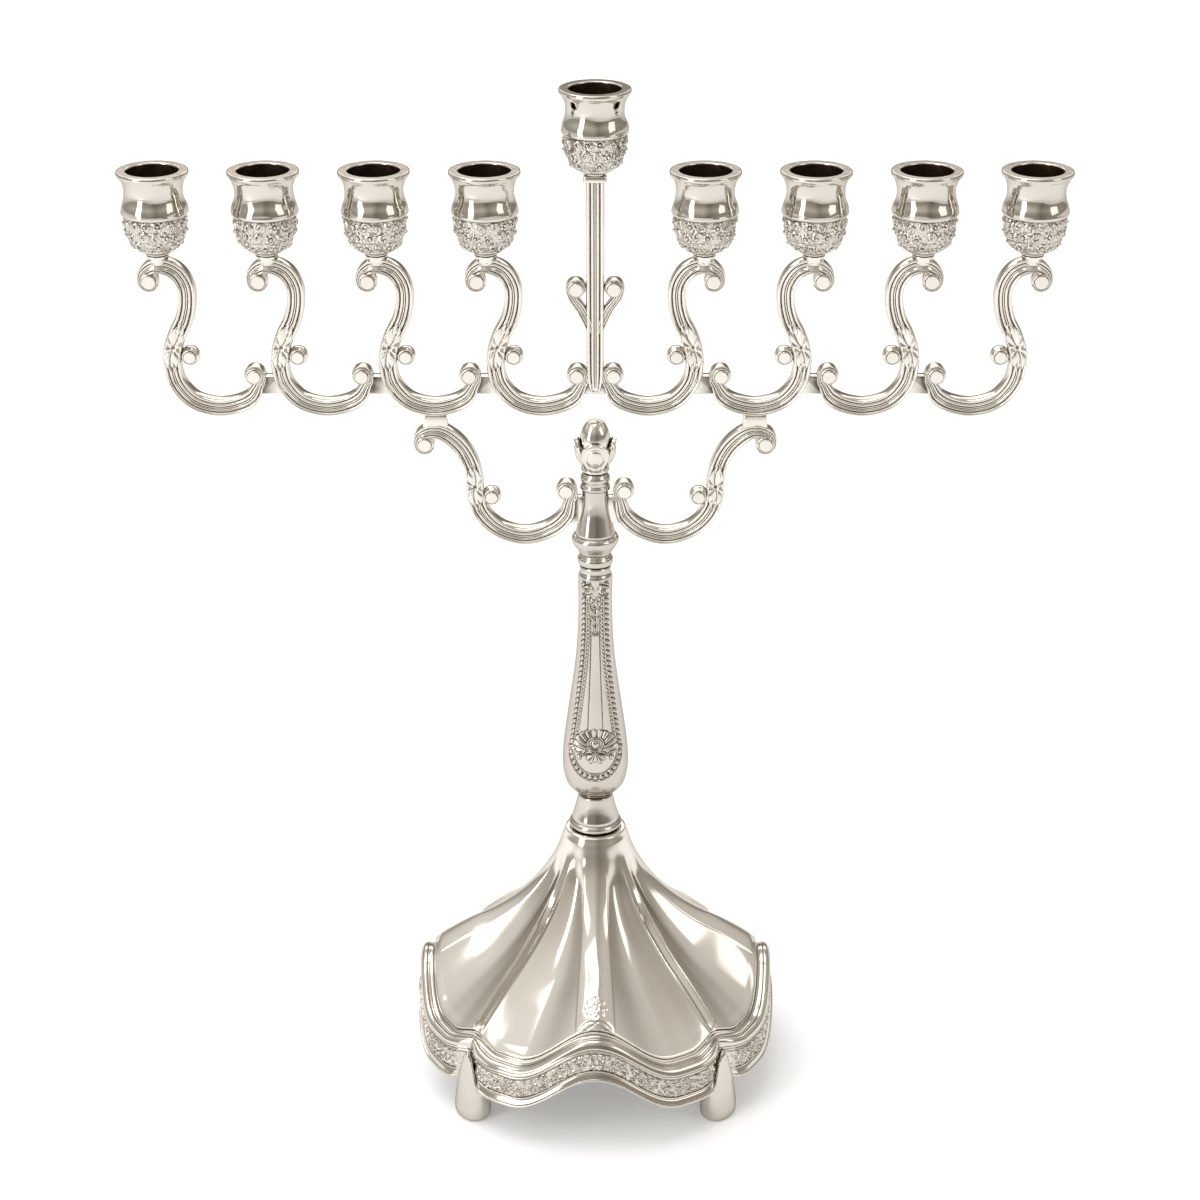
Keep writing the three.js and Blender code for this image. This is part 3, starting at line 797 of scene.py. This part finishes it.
def baluster_relief(phi, s, r, h):
    """Front and back panels alike: bead rows, spirals and drop at the top, shell, shelf, fan and beaded bowl below."""
    front = (phi + math.pi / 2 + math.pi) % math.pi
    front = np.where(front > math.pi / 2, front - math.pi, front)
    x = r * front
    ax = np.abs(x)
    edge_x = r * np.interp(h, PANEL_Z, PANEL_SHARE)
    mid_z = PANEL_Z[0]
    bowl_r = PANEL_SHARE[0] * 9.73
    in_upper = (h > mid_z) & (h < 165.2)
    bowl = np.hypot(x, (h - mid_z) * 0.98)
    in_lower = (h <= mid_z) & (h > 99)
    edge_d = np.where(in_upper, ax - edge_x, bowl - bowl_r)
    inside = in_upper | in_lower
    d = np.where(inside, -0.36 * smooth01((-0.75 - edge_d) / 0.3), 0.0)
    for at, hh, ww in ((-1.0, 0.26, 0.14), (1.0, 0.26, 0.16)):
        d += np.where(inside, hh * np.exp(-((edge_d - at) / ww) ** 2), 0)
    gap = 1.7
    along = np.where(in_upper, h - mid_z, bowl_r * np.arctan2(ax, np.maximum(mid_z - h, 1e-3)))
    cell = np.abs((along / gap + 0.5) % 1 - 0.5) * gap
    bead = np.clip(1 - (cell ** 2 + edge_d ** 2) / 0.76 ** 2, 0, 1) ** 0.5
    d += np.where(inside, 0.78 * bead - 0.3 * np.exp(-(edge_d / 0.8) ** 4), 0)
    # a finer bead row inside the first, and a raised spine up the middle
    fine = np.abs((along / 1.25 + 0.5) % 1 - 0.5) * 1.25
    small = np.clip(1 - (fine ** 2 + (edge_d + 1.6) ** 2) / 0.5 ** 2, 0, 1) ** 0.5
    d += np.where(in_upper, 0.42 * small, 0)
    spine = smooth01((0.27 * r - ax) / 0.35) * smooth01((150 - h) / 3)
    d += np.where(in_upper, 0.38 * spine - 0.16 * np.exp(-((ax - 0.27 * r - 0.15) / 0.25) ** 2), 0)
    # a pair of spirals at the top
    sx, sz = ax - 2.35, h - 162.2
    rr, th = np.hypot(sx, sz), np.arctan2(sz, sx)
    coil = np.cos(th + rr * 3.3)
    d = np.where(rr < 2.1, -0.25 + smooth01((2.1 - rr) / 0.4) * (0.5 + 0.42 * coil), d)
    d += 0.55 * np.clip(1 - (rr / 0.55) ** 2, 0, 1) ** 0.5
    # flower, then a drop of leaves under the spirals
    fx, fz = x, h - 158.6
    fr, fa = np.hypot(fx, fz), np.arctan2(fz, fx)
    petal = np.clip(1 - fr / (1.35 + 0.55 * np.cos(5 * fa)), 0, 1) ** 0.5
    d = np.where(fr < 1.9, np.maximum(d, -0.3 + 0.85 * petal), d)
    u = (157.2 - h) / 8.6
    half = np.clip(2.1 * (1 - u) + 0.3, 0.2, 2.1)
    drop = (u > 0) & (u < 1) & (ax < half)
    lobes = 0.5 + 0.5 * np.cos(h * 2.6 - ax * 2.4)
    leaf = 0.1 + 0.6 * lobes * np.clip(1 - ax / half, 0, 1) ** 0.5 - 0.25 * np.exp(-(ax / 0.18) ** 2)
    d = np.where(drop & (edge_d < -1.0), -0.3 + leaf, d)
    # scalloped shell over a wavy shelf
    wave = mid_z - 0.4 + 0.75 * np.cos(ax * 0.75) + 0.25 * np.cos(ax * 2.4)
    lz = h - mid_z
    rho, ang = np.hypot(x, lz * 1.05), np.arctan2(lz, x)
    rib_count = 21
    scallop = np.abs(np.sin(ang * rib_count / 2))
    shell_r = 7.2 + 0.4 * scallop
    in_shell = (rho < shell_r) & (lz > 0)
    shell_h = (-0.1 + 0.25 * smooth01((rho - 2.6) / 3.5) + 0.62 * scallop ** 0.8 * smooth01((rho - 2.3) / 0.8)) * smooth01((shell_r - rho) / 0.35)
    d = np.where(in_shell, np.where(edge_d < -0.9, shell_h, np.maximum(shell_h, 0.0)), d)
    d += np.where(ax < edge_x + 0.6, 0.62 * np.exp(-((h - wave) / 0.36) ** 2), 0)
    # loop in the middle of the shell
    hz = h - mid_z - 2.0
    heart = np.hypot(x, hz * 1.05 - 0.35 * np.sqrt(ax))
    above = smooth01((h - wave + 0.3) / 0.4)
    d = np.where((heart < 2.75) & (h > wave), -0.15, d)
    d += above * (0.8 * np.exp(-((heart - 2.35) / 0.32) ** 2) + 0.6 * np.clip(1 - (heart / 1.35) ** 2, 0, 1) ** 0.5)
    # fan of leaves below the shelf, a small boss at each side
    fz = wave - 0.8 - h
    fr, fa = np.hypot(x, fz), np.arctan2(x, fz)
    leafy = np.abs(np.cos(fa * 5.5))
    fan_r = 3.0 + 0.5 * leafy
    in_fan = (fr < fan_r) & (fz > 0)
    fan_h = (0.42 * leafy ** 0.8 * smooth01(fr / 1.2)) * smooth01((fan_r - fr) / 0.5)
    d = np.where(in_fan, np.maximum(d, -0.34 + fan_h), d)
    knob = np.hypot(ax - 5.3, h - mid_z + 2.4)
    d = np.where(knob < 0.8, np.maximum(d, -0.2 + 0.6 * np.sqrt(np.clip(1 - (knob / 0.8) ** 2, 0, 1))), d)
    return np.clip(d, -0.55, 0.9)


turned_piece("stem_baluster_plate", [
    (4.9, 92.7), (5.3, 92.8, 0.2), (5.9, 93.6, 0.7), (7.6, 94.9, 1.2), (9.0, 96.9, 1.5), (9.85, 100.2, 2), (10.15, 103.3, 2.5), (9.95, 108.5, 3),
    (9.4, 113.6, 3), (8.55, 119.6, 3), (7.65, 126.3, 3.5), (6.65, 133, 3.5), (5.85, 139.6, 3.5), (5.3, 147, 3.5), (5.1, 154, 3.5), (5.1, 160, 3), (5.2, 164.6, 1.2),
    (5.1, 166, 0.5), (4.6, 166.9, 0.4), (4.5, 167.8, 0.4), (4.75, 168.5, 0.3), (4.5, 168.9),
], "stem_baluster", M_STEM, nu=480, displace=baluster_relief, gain=0.6, radius=1.0, step=0.17)


def build_finial():
    bud = Shell()
    egg = rounded([
        (0, 206.3), (2.3, 206.3, 0.1), (2.3, 198.7, 0.1), (3.6, 198.7, 0.3), (4.2, 199.1, 0.4), (4.3, 199.9, 0.4), (3.6, 200.5, 0.3), (4.2, 201.6, 1),
        (4.9, 204, 1.5), (4.7, 207.5, 1.5), (4.5, 209.6, 1.2), (3.9, 212, 1.2), (2.7, 213.9, 1), (1.2, 214.75, 0.7), (0, 214.88),
    ], n=6)
    bud.grid(revolve(resample(egg, 0.2), 160))
    shells = [bud]
    for k in range(4):
        a0 = -math.pi / 2 + k * math.pi / 2
        t = np.linspace(0, 1, 72)[None, :]
        c = np.linspace(-1, 1, 56)[:, None]
        z = 199.9 + 9.2 * t
        half = 0.80 * np.sqrt(np.clip(1 - ((t - 0.45) / 0.565) ** 2, 0, 1))
        th = half * c
        radius = 4.1 + 1.5 * smooth01(t * 2.0) + 0.42 * smooth01((t - 0.42) / 0.4)
        q = np.hypot(th / 0.80, (t - 0.45) / 0.565)
        relief = 0.30 * np.exp(-((q - 0.91) / 0.075) ** 2) - 0.12 * np.exp(-((q - 0.72) / 0.1) ** 2)
        relief = relief + 0.45 * np.sqrt(np.clip(1 - (q / 0.54) ** 2, 0, 1))
        out = radius + relief
        inside = np.where(t < 0.5, 3.4, 3.4 + (radius - 0.75 - 3.4) * smooth01((t - 0.5) / 0.3)) + 0 * c
        face = np.stack([out * np.cos(a0 + th), out * np.sin(a0 + th), z + 0 * c], -1)
        back = np.stack([inside * np.cos(a0 + th), inside * np.sin(a0 + th), z + 0 * c], -1)
        leaf = Shell()
        leaf.grid(np.concatenate([face, back[::-1]], 0), wrap_u=True, caps=True)
        shells.append(leaf)
    me = fuse(shells, "finial")
    return finish_mesh(me, M_FINIAL, sharp=48, gain=0.6)


place("finial_bud", build_finial(), "finial", ["finial"])


# ---------------------------------------------------------------- base

CANOPY = np.array([
    (10.1, 78.6, 0.0), (11.6, 73.8, 0.0), (13.8, 69.0, 0.02), (18.0, 62.4, 0.06), (23.8, 55.9, 0.18), (31.4, 50.3, 0.40), (40.0, 45.8, 0.68),
    (47.5, 41.1, 0.92), (50.4, 38.8, 1.0),
])


def fold_angle(phi):
    q = math.pi / 2
    t = phi + q / 2
    return np.abs(t - np.floor(t / q) * q - q / 2)


def arch_share(phi):
    f = fold_angle(phi)
    w = math.radians(27)
    return np.where(f < w, 0.5 * (1 + np.cos(np.pi * np.minimum(f, w) / w)), 0)


def corner_share(phi):
    return smooth01((fold_angle(phi) - math.pi / 5.3) / (math.pi / 4 - math.pi / 5.3))


def notch_share(phi):
    away = (math.pi / 4 - fold_angle(phi)) / math.radians(5.0)
    return np.clip(1 - np.abs(away), 0, 1) ** 1.3


def skirt_r(phi):
    return 52.3 - 1.9 * arch_share(phi) - 1.3 * corner_share(phi)


def skirt_z(phi):
    return 26.5 + 12.1 * arch_share(phi) + 2.7 * corner_share(phi)


def rim_z(phi):
    return 23.0 + 12.1 * arch_share(phi) + 1.2 * corner_share(phi)


PLEAT_HALF = 1.75
RIB_LINES, FLUTE_LINES, PLEAT_LINES = 40, 34, 22
ROSETTE_R0 = 45.2
FRONT_SIDE = 3


def rosette(x, y):
    """Small engraved eight-petalled flower over two leaves; depth in mm."""
    x, y = x / 1.25, y / 1.25
    rr, th = np.hypot(x, y), np.arctan2(y, x)
    petals = 1.9 + 0.75 * np.abs(np.cos(4 * th))
    cut = np.exp(-((rr - petals) / 0.17) ** 2) + np.exp(-((rr - 0.7) / 0.16) ** 2)
    cut += 0.8 * np.exp(-(np.abs(np.sin(4 * th)) * rr / 0.16) ** 2) * (rr > 0.9) * (rr < 1.9)
    u = np.abs(x) / 3.9
    leaf = np.abs(y + 3.9 + 0.9 * u) - 0.75 * np.sin(np.pi * np.clip(u, 0, 1)) ** 0.8
    cut += np.exp(-(leaf / 0.17) ** 2) * (u < 1)
    return 0.24 * np.clip(cut, 0, 1)




def canopy_surface(t_line):
    """Fluted canopy in mm: angle, radius and height per grid line and meridian sample (r, z, share).

    Grid lines follow the rib, flute and pleat edges, so every crease stays clean from the seat to the skirt."""
    r0, z0, share = t_line[None, :, 0], t_line[None, :, 1], t_line[None, :, 2]
    t = (r0 - 10.1) / 40.3
    rib_half = 3.1 + 2.9 * t
    eighth = math.pi / 4 * r0
    pleat_half = PLEAT_HALF * (0.55 + 0.45 * smooth01(t / 0.25))
    bend = np.sin(0.5 * math.pi * np.linspace(0, 1, RIB_LINES, endpoint=False))
    rib_across = bend[:, None] * rib_half
    flute_share = 0.5 - 0.5 * np.cos(math.pi * np.linspace(0, 1, FLUTE_LINES, endpoint=False))
    flute_across = rib_half + flute_share[:, None] * (eighth - pleat_half - rib_half)
    pleat_across = eighth - pleat_half * (1 - np.linspace(0, 1, PLEAT_LINES))[:, None]
    across = np.concatenate([rib_across, flute_across, pleat_across], 0)
    q = np.clip((across - rib_half) / (eighth - pleat_half - rib_half), 0, 1)
    pleat = eighth - across
    fade = smooth01(t / 0.35)
    depth = (0.25 + 2.1 * np.sin(np.pi * np.clip(t, 0, 1) ** 0.9) ** 0.8) * smooth01(t / 0.12)
    flute = -depth * np.sin(np.pi * q ** 0.85) ** 1.1
    crown = 0.5 * np.clip(1 - (across / rib_half) ** 2, 0, 1) * fade
    rib = 0.16 * smooth01((rib_half + 0.25 - across) / 0.5) * fade
    open_up = smooth01((t - 0.10) / 0.30)
    groove = -1.6 * np.clip(1 - pleat / (pleat_half - 0.22), 0, 1) ** 0.9 * open_up
    bead = 0.52 * np.exp(-((pleat - pleat_half + 0.02) / 0.26) ** 2) * open_up
    lift = flute + crown + rib + groove + bead
    grad = np.gradient(t_line[:, :2], axis=0)
    grad /= np.linalg.norm(grad, axis=1, keepdims=True)
    nr, nz = -grad[:, 1], grad[:, 0]
    lift = lift * (0.30 + 0.70 * smooth01((50.6 - r0) / 2.4))
    fold = across / r0
    ang, rr, zz = [], [], []
    for side in range(4):
        centre = side * math.pi / 2
        # from the middle of one side to the corner, then back down to the next middle
        up = centre + fold
        down = centre + math.pi / 2 - fold[::-1][1:-1]
        for a, l, x in ((up, lift, across), (down, lift[::-1][1:-1], across[::-1][1:-1])):
            after = side == (FRONT_SIDE if a is up else (FRONT_SIDE - 1))
            if after:
                along = np.cumsum(np.hypot(*np.gradient(t_line[:, :2], axis=0).T))
                l = l - rosette(x, along[np.argmin(np.abs(t_line[:, 0] - ROSETTE_R0))] - along[None, :])
            ang.append(a)
            rr.append(r0 + share * (skirt_r(a) - 50.4) + l * nr[None, :])
            zz.append(z0 + share * (skirt_z(a) - 38.6) + l * nz[None, :])
    return np.concatenate(ang, 0), np.concatenate(rr, 0), np.concatenate(zz, 0)


def build_canopy():
    line = curve_points([(a, b, c) for a, b, c in CANOPY], 0.26)
    ang, r, z = canopy_surface(line)
    nu = len(ang)
    seat = rounded([(BORE, 81.0), (8.5, 81.0, 0.1), (9.25, 80.75, 0.5), (9.55, 79.9, 0.7), (10.1, 78.6)], n=6)
    seat = resample(seat, 0.35)[:-1]
    top, low = ang[:, :1], ang[:, -1:]
    parts = [(np.repeat(top, len(seat), 1), np.repeat(seat[None, :, 0], nu, 0), np.repeat(seat[None, :, 1], nu, 0)), (ang, r, z)]
    # rolled lower edge, then the inside
    er, ez = r[:, -1:], z[:, -1:]
    for dr, dz in ((0.14, -0.3), (0.08, -0.7), (-0.3, -0.95), (-0.8, -0.8)):
        parts.append((low, er + dr, ez + dz))
    back = slice(-5, None, -4)
    parts.append((ang[:, back], r[:, back] - 1.0, z[:, back] - 1.1))
    under = np.array([(7.4, 79.3), (BORE, 79.3)])
    parts.append((np.repeat(top, 2, 1), np.repeat(under[None, :, 0], nu, 0), np.repeat(under[None, :, 1], nu, 0)))
    aa, rr, zz = (np.concatenate([q[i] for q in parts], 1) for i in range(3))
    p = np.stack([rr * np.cos(aa), rr * np.sin(aa), zz], -1)
    sh = Shell()
    sh.grid(p, wrap_u=True, wrap_v=True)
    return finish_mesh(sh.mesh("canopy"), M_CANOPY, sharp=60, gain=0.6)


place("base_canopy", build_canopy(), "base", ["base_body"])


def build_gallery():
    nu = 1296
    phi = np.linspace(0, TAU, nu, endpoint=False)
    inside = skirt_r(phi)[:, None]
    ledge = (skirt_z(phi) - 0.75)[:, None]
    rim = rim_z(phi)[:, None]
    notch = notch_share(phi)[:, None]
    face = inside + 4.6 - 1.7 * notch
    low = rim - 11.4
    foot_gap = smooth01((math.radians(6.5) - (math.pi / 4 - fold_angle(phi))) / math.radians(2.5))[:, None]
    rows = []

    def row(r, z):
        rows.append((r + 0 * inside, z + 0 * inside))

    row(inside - 2.4, ledge - 1.2)
    row(inside - 2.4, ledge - 0.1)
    row(inside - 1.2, ledge)
    span = face - inside
    steps = rounded([(0.0, 0.0), (0.09, 0.01, 0.01), (0.11, 0.20, 0.02), (0.135, 0.27, 0.02), (0.19, 0.36, 0.05), (0.30, 0.42, 0.08),
                     (0.42, 0.42, 0.08), (0.50, 0.38, 0.03), (0.525, 0.37, 0.01), (0.54, 0.45, 0.015), (0.56, 0.45, 0.01), (0.575, 0.38, 0.02),
                     (0.66, 0.36, 0.06), (0.80, 0.42, 0.1), (0.93, 0.62, 0.08), (1.0, 0.90, 0.02)], n=3)
    for a, b in resample(steps, 0.022):
        row(inside + span * a, ledge + (rim - ledge) * (b / 0.9))
    # outer face, from the rim down: fine ridges, relief band, three lower mouldings
    outer = rounded([
        (0.0, 0.0), (0.18, 0.35, 0.15), (0.05, 0.8, 0.1), (-0.12, 1.05, 0.1), (0.08, 1.35, 0.1), (-0.1, 1.75, 0.1), (-0.45, 2.0, 0.1), (-0.5, 2.3, 0.2),
    ], n=4)
    for a, b in resample(outer, 0.12):
        row(face + a, rim - b)
    z_rel = np.linspace(2.35, 8.1, 50)
    x = phi[:, None] * 55.0
    rel = floral_field(np.repeat(x, len(z_rel), 1), np.repeat(-z_rel[None, :], nu, 0), TAU * 55.0, -8.05, -2.4, 11, size=1.9, depth=0.75)
    for j, b in enumerate(z_rel):
        bow = 0.25 * (b - 2.35) / 5.75
        row(face - 0.55 + bow + rel[:, j:j + 1] * (1 - foot_gap * 0.6), rim - b)
    flare = 1.15 * (1 - foot_gap)
    lower_line = rounded([
        (0.0, 8.2), (0.25, 8.35, 0.1), (0.30, 8.65, 0.12), (0.12, 8.85, 0.08), (0.30, 9.2, 0.3), (0.62, 10.2, 0.3), (0.66, 10.35, 0.08),
        (0.56, 10.45, 0.05), (0.9, 10.6, 0.12), (1.0, 10.95, 0.15), (0.95, 11.3, 0.15), (0.6, 11.4, 0.12), (0.3, 11.4, 0.2), (-0.5, 11.35, 0.2),
    ], n=4)
    for a, b in resample(lower_line, 0.12):
        row(face - 0.3 * (1 - max(a, 0)) + flare * a, rim - b)
    row(face - 1.7, rim - 11.0)
    row(face - 1.7, rim - 6.0)
    row(face - 1.7, rim - 1.5)
    rr = np.concatenate([a for a, _ in rows], 1)
    zz = np.concatenate([b for _, b in rows], 1)
    p = np.stack([rr * np.cos(phi)[:, None], rr * np.sin(phi)[:, None], zz], -1)
    sh = Shell()
    sh.grid(p, wrap_u=True, wrap_v=True)
    return finish_mesh(sh.mesh("gallery"), M_GALLERY, sharp=55, gain=0.7)


place("base_gallery_plate", build_gallery(), "base", ["base_gallery"])


def build_foot():
    """Tongue foot in its own frame: x across, -y outward, z up; teardrop seen from the front."""
    top = 23.6
    zs = np.concatenate([[0.0, 0.12, 0.35, 0.8, 1.4], np.linspace(2.2, top - 0.05, 64)])
    nu = 72
    p = np.zeros((nu, len(zs), 3))
    for j, z in enumerate(zs):
        foot_in = 1.0 if z > 1.4 else 1 - 0.14 * (1 - z / 1.4) ** 2
        half = np.interp(z, [0, 2, 5, 9, 13, 17, 20.5, 22.6, top], [5.35, 5.8, 5.85, 5.2, 4.0, 2.75, 1.8, 1.0, 0.1]) * foot_in
        out = np.interp(z, [0, 3, 8, 13, 18, 22, top], [57.9, 58.4, 57.9, 57.2, 56.6, 56.2, 55.5]) - (0.5 * (1 - foot_in) / 0.14 if foot_in < 1 else 0)
        back = np.interp(z, [0, 3, 8, 10.5, 12.0, 14, top], [49.2, 48.6, 49.2, 50.4, 52.4, 54.3, 54.6])
        mid, hd = (out + back) / 2, (out - back) / 2
        for i in range(nu):
            th = TAU * i / nu
            c, s = math.cos(th), math.sin(th)
            p[i, j] = (half * math.copysign(abs(c) ** 0.82, c), -(mid + hd * math.copysign(abs(s) ** 0.88, s)), z)
    sh = Shell()
    sh.grid(p, caps=True)
    me = sh.mesh("foot")
    return me


foot_base = build_foot()
for k, foot_name in enumerate(["foot_front_right", "foot_back_right", "foot_back_left", "foot_front_left"]):
    me = foot_base.copy()
    me.name = foot_name + "_mesh"
    a = math.radians(45 + 90 * k)
    co = coords(me)
    x, y = co[:, 0] * math.cos(a) - co[:, 1] * math.sin(a), co[:, 0] * math.sin(a) + co[:, 1] * math.cos(a)
    me.vertices.foreach_set("co", (np.stack([x, y, co[:, 2]], 1) * MM).ravel())
    me.update()
    place(foot_name + "_tongue", finish_mesh(me, M_FOOT, sharp=50, gain=0.5), "base", [foot_name])


# ---------------------------------------------------------------- carried-over hardware

for name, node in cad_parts.items():
    if name in ("base_washer", "tie_nut", "tie_rod") or name.endswith("_stud") or name.startswith("stud_"):
        for s in node.material_slots:
            s.material = M_STEEL


# ---------------------------------------------------------------- floor, camera, light

def floor_material():
    mat, nodes, links = new_material("floor_paper")
    bsdf = nodes["Principled BSDF"]
    coord = nodes.new("ShaderNodeTexCoord").outputs["Object"]
    n = noise_node(nodes, links, coord, 6.0, 2.0)
    links.new(ramp_node(nodes, links, n, [(0.2, (0.915, 0.938, 0.97)), (0.8, (0.93, 0.953, 0.985))]), bsdf.inputs["Base Color"])
    bsdf.inputs["Roughness"].default_value = 0.9
    bsdf.inputs["Specular IOR Level"].default_value = 0.0
    bsdf.inputs["Emission Color"].default_value = (1, 1, 1, 1)
    bsdf.inputs["Emission Strength"].default_value = 0.17
    return mat


floor_me = bpy.data.meshes.new("floor")
S = 9.0
FRONT = 9.0
floor_me.from_pydata([(-S, -FRONT, 0), (S, -FRONT, 0), (S, S, 0), (-S, S, 0)], [], [(0, 1, 2, 3)])
floor_me.materials.append(floor_material())
floor = bpy.data.objects.new("floor", floor_me)
floor.location = (0, 0, -0.00005)
bpy.context.scene.collection.objects.link(floor)

cam_data = bpy.data.cameras.new("camera")
cam_data.lens = 84.54
cam_data.sensor_width = 36.0
cam_data.clip_start = 0.01
cam_data.clip_end = 60
camera = bpy.data.objects.new("camera", cam_data)
camera.location = (0.0014, -0.768, 0.504)
camera.rotation_euler = (math.radians(65.7), 0, 0)
bpy.context.scene.collection.objects.link(camera)
bpy.context.scene.camera = camera


def area(name, loc, target, size, power, color=(1, 1, 1), size_y=None):
    data = bpy.data.lights.new(name, "AREA")
    data.energy = power
    data.color = color
    data.size = size
    if size_y:
        data.shape = "RECTANGLE"
        data.size_y = size_y
    ob = bpy.data.objects.new(name, data)
    ob.location = loc
    d = Vector(target) - Vector(loc)
    ob.rotation_euler = d.to_track_quat("-Z", "Y").to_euler()
    bpy.context.scene.collection.objects.link(ob)
    return ob


area("strip_left", (-1.0, -0.85, 0.75), (0, 0, 0.2), 0.42, 6.0, (1, 0.99, 0.97), 1.3)
area("box_right", (1.3, -0.7, 0.9), (0, 0, 0.2), 0.7, 2.4, (1, 0.97, 0.93), 0.9)
area("top", (-0.36, 0.2, 1.7), (0, 0, 0.1), 1.35, 13.0, (1, 0.99, 0.98), 1.5)
area("back", (0.0, 1.9, 1.2), (0, 0.4, 0.0), 2.4, 8.0, (1, 1, 1), 0.8)

world = bpy.data.worlds.new("studio")
bpy.context.scene.world = world
world.use_nodes = True
wn, wl = world.node_tree.nodes, world.node_tree.links
coord = wn.new("ShaderNodeTexCoord").outputs["Generated"]
sep = wn.new("ShaderNodeSeparateXYZ")
wl.new(coord, sep.inputs[0])
height = math_node(wn, wl, "ADD", math_node(wn, wl, "MULTIPLY", sep.outputs["Z"], 0.5), 0.5)
sky = ramp_node(wn, wl, height, [(0.47, (0.50, 0.48, 0.45)), (0.53, (0.45, 0.425, 0.39)), (0.62, (0.52, 0.495, 0.455)), (0.74, (0.78, 0.76, 0.73)), (1.0, (1.0, 0.98, 0.96))])
side = math_node(wn, wl, "ADD", math_node(wn, wl, "MULTIPLY", sep.outputs["Y"], 0.5), 0.5)
front_shade = ramp_node(wn, wl, side, [(0.0, (0.84, 0.82, 0.79)), (0.24, (0.98, 0.97, 0.95)), (0.75, (1.0, 1.0, 1.0))])
across = math_node(wn, wl, "ADD", math_node(wn, wl, "MULTIPLY", sep.outputs["X"], 0.5), 0.5)
side_shade = ramp_node(wn, wl, across, [(0.0, (1.0, 1.0, 1.0)), (0.44, (0.95, 0.94, 0.92)), (0.60, (0.55, 0.53, 0.50)), (0.80, (0.78, 0.76, 0.73))])
shade = mix_color(wn, wl, 1.0, front_shade, side_shade, "MULTIPLY")
wl.new(mix_color(wn, wl, 1.0, sky, shade, "MULTIPLY"), wn["Background"].inputs["Color"])
wn["Background"].inputs["Strength"].default_value = 1.0
bpy.context.scene.view_settings.view_transform = "Standard"
